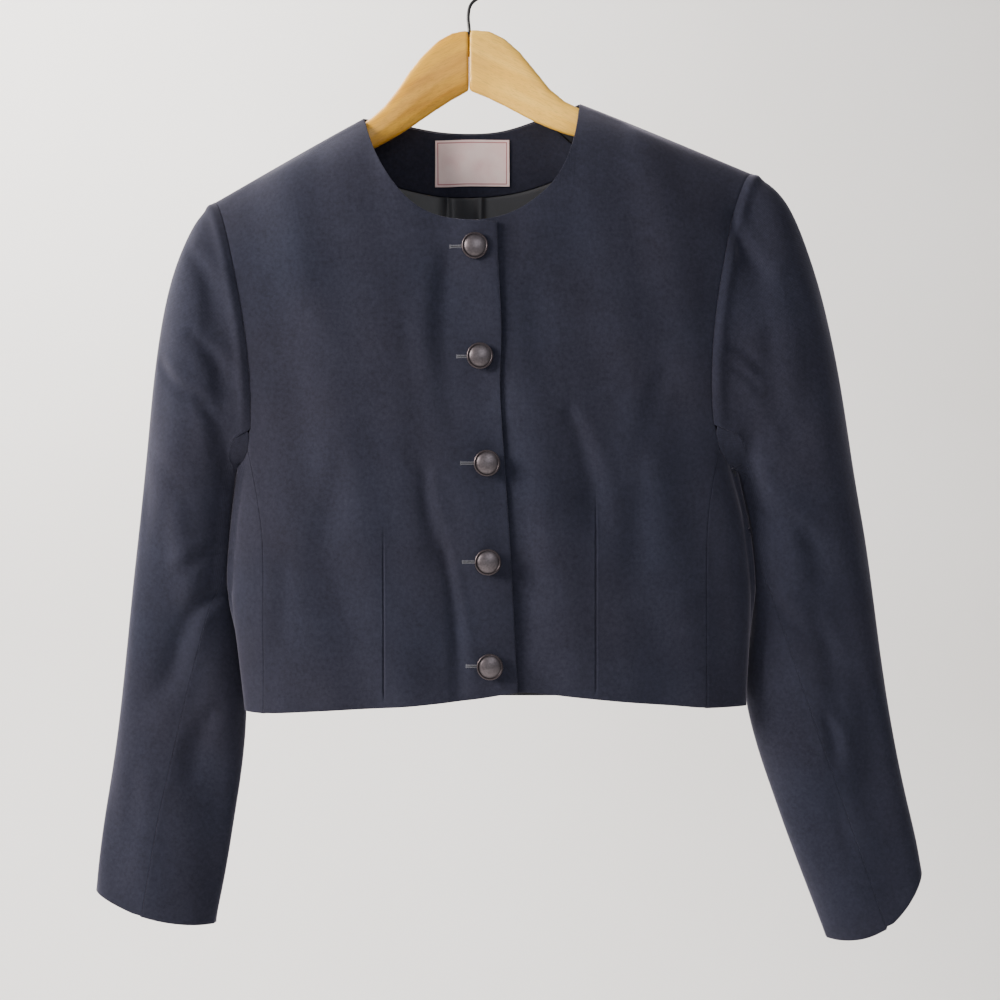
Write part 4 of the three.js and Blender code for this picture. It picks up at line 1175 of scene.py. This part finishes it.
def set_down(place, normal, turn, lift):
    """A matrix that stands a copy on the cloth: X along the cloth, turned, and Z outward."""
    up = normal.normalized()
    side = Vector((1, 0, 0)) - up * up.x
    side.normalize()
    grid = Matrix((side, up.cross(side), up)).transposed().to_4x4()
    return Matrix.Translation(place + up * lift) @ grid @ Matrix.Rotation(turn, 4, "Z")


# %% Thread, and painted shade in the slit
THREAD_TONES = [(0.3, (0.075, 0.080, 0.100)), (0.7, (0.150, 0.155, 0.180))]
# The slit is painted as shade: near-black tones on flat marks laid where a closed slit lies in shadow.
SLIT_SHADE_TONES = [(0.3, (0.004, 0.004, 0.006)), (0.7, (0.010, 0.011, 0.015))]

thread, tree, shader = new_material("buttonhole_thread", 0.6, Sheen_Weight=0.25, IOR=1.45)
place = object_place(tree)
tone = ramp(tree, noise(tree, place, 900, 2.0), THREAD_TONES)
paint(tree, shader, tone)
raise_bump(tree, shader, noise(tree, place, 5000, 2.0), 0.4, 0.05 * MM)

slit_painted_shade, tree, shader = new_material("slit_shadow", 0.95)
place = object_place(tree)
tone = ramp(tree, noise(tree, place, 1200, 2.0), SLIT_SHADE_TONES)
paint(tree, shader, tone)

# %% Stitching the buttonholes
# How far each hole's end lies from its button's middle, from the top button down, and past it
HOLE_REACH = (18.5, 17.2, 19.5, 18.8, 17.6)
HOLE_PAST = 3.0
LIP = 0.72 * MM
STITCH_STEP = 0.43 * MM
STITCH_SPLAY = 9
BAR_STITCHES = 7
BAR_PAST = 0.3 * MM
BAR_TURN = 4
# How high stitches, the slit's painted shade and bar lie on the cloth
STITCH_LIFT = 0.06 * MM
SLIT_SHADE_LIFT = 0.02 * MM
BAR_LIFT = 0.12 * MM
BUTTONS = [f"button_{k}" for k in range(1, 6)]

right_front = cloth_pieces["right_front"]
front_surface = surface_of(right_front)
stitches, slit_shade_marks = [], []
for node, reach in zip(BUTTONS, HOLE_REACH):
    low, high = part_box(node)
    middle_x, middle_z = (low[0] + high[0]) / 2, (low[2] + high[2]) / 2
    start, stop = middle_x - reach * MM, middle_x + HOLE_PAST * MM
    for x in np.arange(start, stop, STITCH_STEP):
        for side in (-1, 1):
            spot, normal = on_cloth(front_surface, x, middle_z + side * LIP)
            turn = math.radians(90 + STITCH_SPLAY * side)
            stitches.append(set_down(spot, normal, turn, STITCH_LIFT))
        # A flat dark mark on the middle line: painted shade for the slit.
        spot, normal = on_cloth(front_surface, x, middle_z)
        slit_shade_marks.append(set_down(spot, normal, 0, SLIT_SHADE_LIFT))
    for k in range(BAR_STITCHES):
        height = middle_z + (k - BAR_STITCHES // 2) * STITCH_STEP
        spot, normal = on_cloth(front_surface, start - BAR_PAST, height)
        stitches.append(set_down(spot, normal, math.radians(BAR_TURN), BAR_LIFT))

for name, placements, size, material in [
    ("buttonhole_stitches", stitches, (1.25 * MM, 0.36 * MM, 0.36 * MM), thread),
    # The second set is painted shade for the slits, not thread or cloth.
    ("buttonhole_slits", slit_shade_marks, (0.9 * MM, 0.5 * MM, 0.16 * MM), slit_painted_shade),
]:
    model = small_sphere(size)
    piece = join_copies(name, model, placements)
    bpy.data.objects.remove(model)
    piece.data.materials.append(material)
    put_on(piece)
    print(f"{name}: {len(placements)} copies, {triangles(piece)} triangles")

# %% [markdown]
# ## Buttons
# They are domed shank buttons with a thick dark rim round a satin pewter face. One is drawn
# up ring by ring from a disc, as it would be spun, then copied to each place. How a button
# tilts is measured on its solid: it is the direction in which the solid is thinnest.
# A second UV map holds each point's place across the face, so rim and dome differ in colour:
# the dome paler towards its middle, the rim dark, with a lighter band on its outer shoulder that
# is partly wear and partly a painted highlight.

# %% Button finish
pewter, tree, shader = new_material("pewter", 0.34, Metallic=0.85, IOR=1.5)
face_uv = add_node(tree, "ShaderNodeUVMap", uv_map="face").outputs["UV"]
place = object_place(tree)
from_middle = add_node(tree, "ShaderNodeVectorMath", [(0, face_uv)], operation="LENGTH").outputs["Value"]
zone = calculate(tree, "MULTIPLY", from_middle, 1 / (10 * MM))
# Tones across the face: a pale dome, a dark rim, and a lighter band on the rim's outer shoulder, partly
# wear and partly a painted highlight.
FACE_TONES_AND_RIM_HIGHLIGHT = [
    (0.0, (0.150, 0.135, 0.145)), (0.70, (0.115, 0.100, 0.108)), (0.84, (0.030, 0.026, 0.028)),
    (0.90, (0.045, 0.036, 0.040)), (0.97, (0.085, 0.070, 0.074)), (1.0, (0.030, 0.026, 0.028)),
]
tone = ramp(tree, zone, FACE_TONES_AND_RIM_HIGHLIGHT)
wear = ramp(tree, noise(tree, place, 700, 4.0, 0.6), [(0.3, grey(0.78)), (0.7, grey(1.2))])
tone = mix_colours(tree, 1.0, tone, wear, "MULTIPLY")
paint(tree, shader, tone)
gloss = ramp(tree, noise(tree, place, 500, 4.0, 0.7), [(0.3, grey(0.28)), (0.7, grey(0.42))])
tree.links.new(gloss, shader.inputs["Roughness"])
raise_bump(tree, shader, noise(tree, place, 2600, 3.0), 0.12, 0.05 * MM)

# %% Modelling a button
# Radius and height of each ring, in millimetres, from the back to the middle of the dome
BUTTON_RINGS = [
    (6.6, 0.0), (8.2, 0.25), (9.2, 0.8), (9.75, 1.4), (10.0, 2.1), (9.95, 2.6), (9.7, 3.0), (9.3, 3.2),
    (8.9, 3.18), (8.6, 2.95), (8.42, 2.72), (8.1, 2.76), (7.4, 3.15), (6.3, 3.62), (5.0, 4.02),
    (3.6, 4.36), (2.2, 4.58), (1.0, 4.68),
]
BUTTON_SIDES = 56
SHANK_RADIUS = 2.3 * MM
SHANK_REACH = 2.5 * MM
SHANK_INSIDE = 0.4 * MM


def model_button():
    """A button on its back at the origin, its dome along Z."""
    radius, height = BUTTON_RINGS[0]
    ops.object.select_all(action="DESELECT")
    ops.mesh.primitive_circle_add(vertices=BUTTON_SIDES, radius=radius * MM, fill_type="NGON")
    model = bpy.context.object
    ops.object.mode_set(mode="EDIT")
    ops.mesh.select_all(action="SELECT")
    for after, rise in BUTTON_RINGS[1:]:
        ops.mesh.extrude_region_move(TRANSFORM_OT_translate={"value": (0, 0, (rise - height) * MM)})
        ops.transform.resize(value=(after / radius, after / radius, 1))
        radius, height = after, rise
    ops.mesh.poke()
    ops.mesh.select_all(action="SELECT")
    ops.mesh.normals_make_consistent(inside=False)
    ops.object.mode_set(mode="OBJECT")
    ops.mesh.primitive_cylinder_add(vertices=20, radius=SHANK_RADIUS, depth=SHANK_REACH + SHANK_INSIDE,
                                    location=(0, 0, (SHANK_INSIDE - SHANK_REACH) / 2))
    shank = bpy.context.object
    ops.object.transform_apply(location=True, rotation=False, scale=False)
    pick(model, shank)
    ops.object.join()
    return model


# %% Setting the buttons
button_model = model_button()
for node in BUTTONS:
    solid = positions(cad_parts[node].data)
    low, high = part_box(node)
    centre = (solid.min(0) + solid.max(0)) / 2
    _, _, axes = np.linalg.svd(solid - solid.mean(0), full_matrices=False)
    outward = Vector(axes[2]) * (1 if axes[2][1] < 0 else -1)
    heights = (solid - centre) @ np.array(outward)
    dome = BUTTON_RINGS[-1][1] * MM
    base = Vector(centre) + outward * (float(heights.max()) - dome)
    piece = bpy.data.objects.new("domed_" + node, button_model.data.copy())
    bpy.context.scene.collection.objects.link(piece)
    layer = piece.data.uv_layers.new(name="face")
    for loop in piece.data.loops:
        spot = piece.data.vertices[loop.vertex_index].co
        layer.data[loop.index].uv = (spot.x, spot.y)
    piece.matrix_world = Matrix.Translation(base) @ outward.to_track_quat("Z", "X").to_matrix().to_4x4()
    pick(piece)
    ops.object.transform_apply(location=True, rotation=True, scale=True)
    ops.object.shade_smooth_by_angle(angle=math.radians(50))
    piece.data.materials.append(pewter)
    put_on(piece, node)
    print(f"{piece.name}: base at {[round(v / MM, 1) for v in base]} mm, {triangles(piece)} triangles")
bpy.data.objects.remove(button_model)

# %% [markdown]
# ## Hanger
# The hanger is turned from pale beech: two halves glued at the middle, lacquered. Both halves
# are one wood in a shaded and a lit copy: the right arm is painted darker as painted shade and
# the left arm lighter as painted light, for the halves meet the light at different angles.
# Its model is faceted. A voxel remesh gives it an even fine skin, and smoothing rounds the
# edges as sanding does. The grain runs along each arm.

# %% Wood
def turned(tree, vector, angle, scale):
    """Coordinates turned in the plane of the picture, then stretched."""
    node = add_node(tree, "ShaderNodeMapping", [("Vector", vector)], vector_type="TEXTURE")
    node.inputs["Rotation"].default_value = (0, angle, 0)
    return stretched(tree, node.outputs["Vector"], scale)


def make_wood(name, dark, middle, light, angle):
    material, tree, shader = new_material(name, 0.42, Coat_Weight=0.2, Coat_Roughness=0.25, IOR=1.5)
    place = object_place(tree)
    rings = noise(tree, turned(tree, place, angle, (7, 90, 130)), 1.0, 4.0, 0.55)
    tone = ramp(tree, rings, [(0.25, dark), (0.5, middle), (0.75, light)])
    pores = noise(tree, turned(tree, place, angle, (90, 1600, 2200)), 1.0, 2.0, 0.6)
    flecks = ramp(tree, pores, [(0.34, grey(0.80)), (0.5, grey(1.02))])
    tone = mix_colours(tree, 1.0, tone, flecks, "MULTIPLY")
    age = ramp(tree, noise(tree, place, 28, 3.0), [(0.3, grey(0.93)), (0.7, grey(1.05))])
    tone = mix_colours(tree, 1.0, tone, age, "MULTIPLY")
    paint(tree, shader, tone)
    gloss = ramp(tree, pores, [(0.3, grey(0.5)), (0.6, grey(0.36))])
    tree.links.new(gloss, shader.inputs["Roughness"])
    raise_bump(tree, shader, pores, 0.18, 0.06 * MM)
    return material


ARM_SLOPE = math.radians(27)
# Dark, middle and light tone of each half. The right half's tones are darker as painted shade, the left
# half's lighter as painted light.
SHADED_RIGHT_TONES = ((0.53, 0.23, 0.011), (0.67, 0.33, 0.018), (0.77, 0.41, 0.030))
LIT_LEFT_TONES = ((0.77, 0.41, 0.045), (0.89, 0.51, 0.070), (0.95, 0.59, 0.10))
# Two copies of one wood: the right arm's painted shade, the left arm's painted light.
wood_right = make_wood("wood_right", *SHADED_RIGHT_TONES, -ARM_SLOPE)
wood_left = make_wood("wood_left", *LIT_LEFT_TONES, ARM_SLOPE)

# %% Hanger arms
ARM_VOXEL = 1.25 * MM
SANDING = 0.5
SANDING_ROUNDS = 5
ARMS = [("right_arm", "hanger_arm_right", wood_right), ("left_arm", "hanger_arm_left", wood_left)]
for name, node, wood in ARMS:
    piece = copy_solid(node, name)
    modify(piece, "REMESH", mode="VOXEL", voxel_size=ARM_VOXEL)
    modify(piece, "SMOOTH", factor=SANDING, iterations=SANDING_ROUNDS)
    ops.object.shade_smooth()
    piece.data.materials.append(wood)
    put_on(piece, node)
    print(f"{name}: {triangles(piece)} triangles")

# %% [markdown]
# ## Hook
# The hook is one bent wire, dipped black. The solid's eight sides are made round by two
# levels of subdivision, and its lacquer gets a fine orange peel and a few rubbed spots.

# %% Hook
black_wire, tree, shader = new_material("black_wire", 0.3, Metallic=0.4, IOR=1.5)
place = object_place(tree)
rubbed = noise(tree, place, 260, 3.0, 0.7)
tone = ramp(tree, rubbed, [(0.55, (0.012, 0.012, 0.013)), (0.75, (0.05, 0.048, 0.046))])
paint(tree, shader, tone)
raise_bump(tree, shader, noise(tree, place, 1500, 2.0), 0.1, 0.05 * MM)

hook = copy_solid("hanger_hook", "wire_hook")
ops.object.mode_set(mode="EDIT")
ops.mesh.select_all(action="SELECT")
ops.mesh.tris_convert_to_quads()
ops.object.mode_set(mode="OBJECT")
modify(hook, "SUBSURF", levels=2, render_levels=2)
ops.object.shade_smooth()
hook.data.materials.append(black_wire)
put_on(hook, "hanger_hook")
print("wire_hook:", triangles(hook), "triangles")

# %% [markdown]
# ## Studio
# The jacket was photographed before a pale wall. A floor that sweeps up into a wall far
# behind gives the same even ground from every side, with no line where they meet.
# A large soft light from the upper left models the folds, a weak one fills from the right,
# and one behind keeps the back readable.

# %% Floor and wall in one sweep
FLOOR_Z = -1.62
FLOOR_SIZE = (12, 8, 1)
WALL_Y = 2.4
WALL_HEIGHT = 5
SWEEP_RADIUS = 0.9


def select_edges(piece, wanted):
    """Leaves those edges selected whose two ends both pass a test."""
    ops.object.mode_set(mode="EDIT")
    ops.mesh.select_mode(type="EDGE")
    ops.mesh.select_all(action="DESELECT")
    ops.object.mode_set(mode="OBJECT")
    for edge in piece.data.edges:
        edge.select = all(wanted(piece.data.vertices[v].co) for v in edge.vertices)
    ops.object.mode_set(mode="EDIT")


ops.object.select_all(action="DESELECT")
ops.mesh.primitive_plane_add(size=1, location=(0, WALL_Y - FLOOR_SIZE[1] / 2, FLOOR_Z))
backdrop = bpy.context.object
backdrop.name = "backdrop"
backdrop.scale = FLOOR_SIZE
ops.object.transform_apply(location=True, rotation=False, scale=True)
select_edges(backdrop, lambda spot: spot.y > WALL_Y - MM)
ops.mesh.extrude_edges_move(TRANSFORM_OT_translate={"value": (0, 0, WALL_HEIGHT)})
select_edges(backdrop, lambda spot: spot.y > WALL_Y - MM and spot.z < FLOOR_Z + MM)
ops.mesh.bevel(offset=SWEEP_RADIUS, segments=24, affect="EDGES")
ops.object.mode_set(mode="OBJECT")
ops.object.shade_smooth()

plaster, tree, shader = new_material("pale_plaster", 0.9)
place = object_place(tree)
tone = ramp(tree, noise(tree, place, 1.4, 3.0), [(0.3, (0.80, 0.785, 0.765)), (0.7, (0.84, 0.828, 0.812))])
paint(tree, shader, tone)
backdrop.data.materials.append(plaster)

# %% Light
world = bpy.data.worlds.new("studio")
bpy.context.scene.world = world
world.use_nodes = True
world.node_tree.nodes["Background"].inputs["Color"].default_value = (0.95, 0.96, 1.0, 1)
world.node_tree.nodes["Background"].inputs["Strength"].default_value = 0.4

# Name, place, size in metres, power in watts, colour
LAMPS = [
    ("key", (-2.45, -1.1, 0.5), 1.1, 172, (1.0, 0.925, 0.87)),
    ("fill", (0.4, -2.1, 0.5), 1.2, 9, (0.97, 0.97, 1.0)),
    ("back", (0.6, 1.9, 0.8), 1.2, 22, (1.0, 1.0, 1.0)),
    ("wall", (-1.4, 0.9, 1.2), 2.0, 130, (1.0, 0.98, 0.95)),
]
for name, spot, size, power, colour in LAMPS:
    light = bpy.data.lights.new(name, "AREA")
    light.size = size
    light.energy = power
    light.color = colour
    lamp = bpy.data.objects.new(name, light)
    lamp.location = spot
    goal = Vector((0, WALL_Y, -0.2)) if name == "wall" else AIM
    lamp.rotation_euler = (goal - Vector(spot)).to_track_quat("-Z", "Y").to_euler()
    bpy.context.scene.collection.objects.link(lamp)
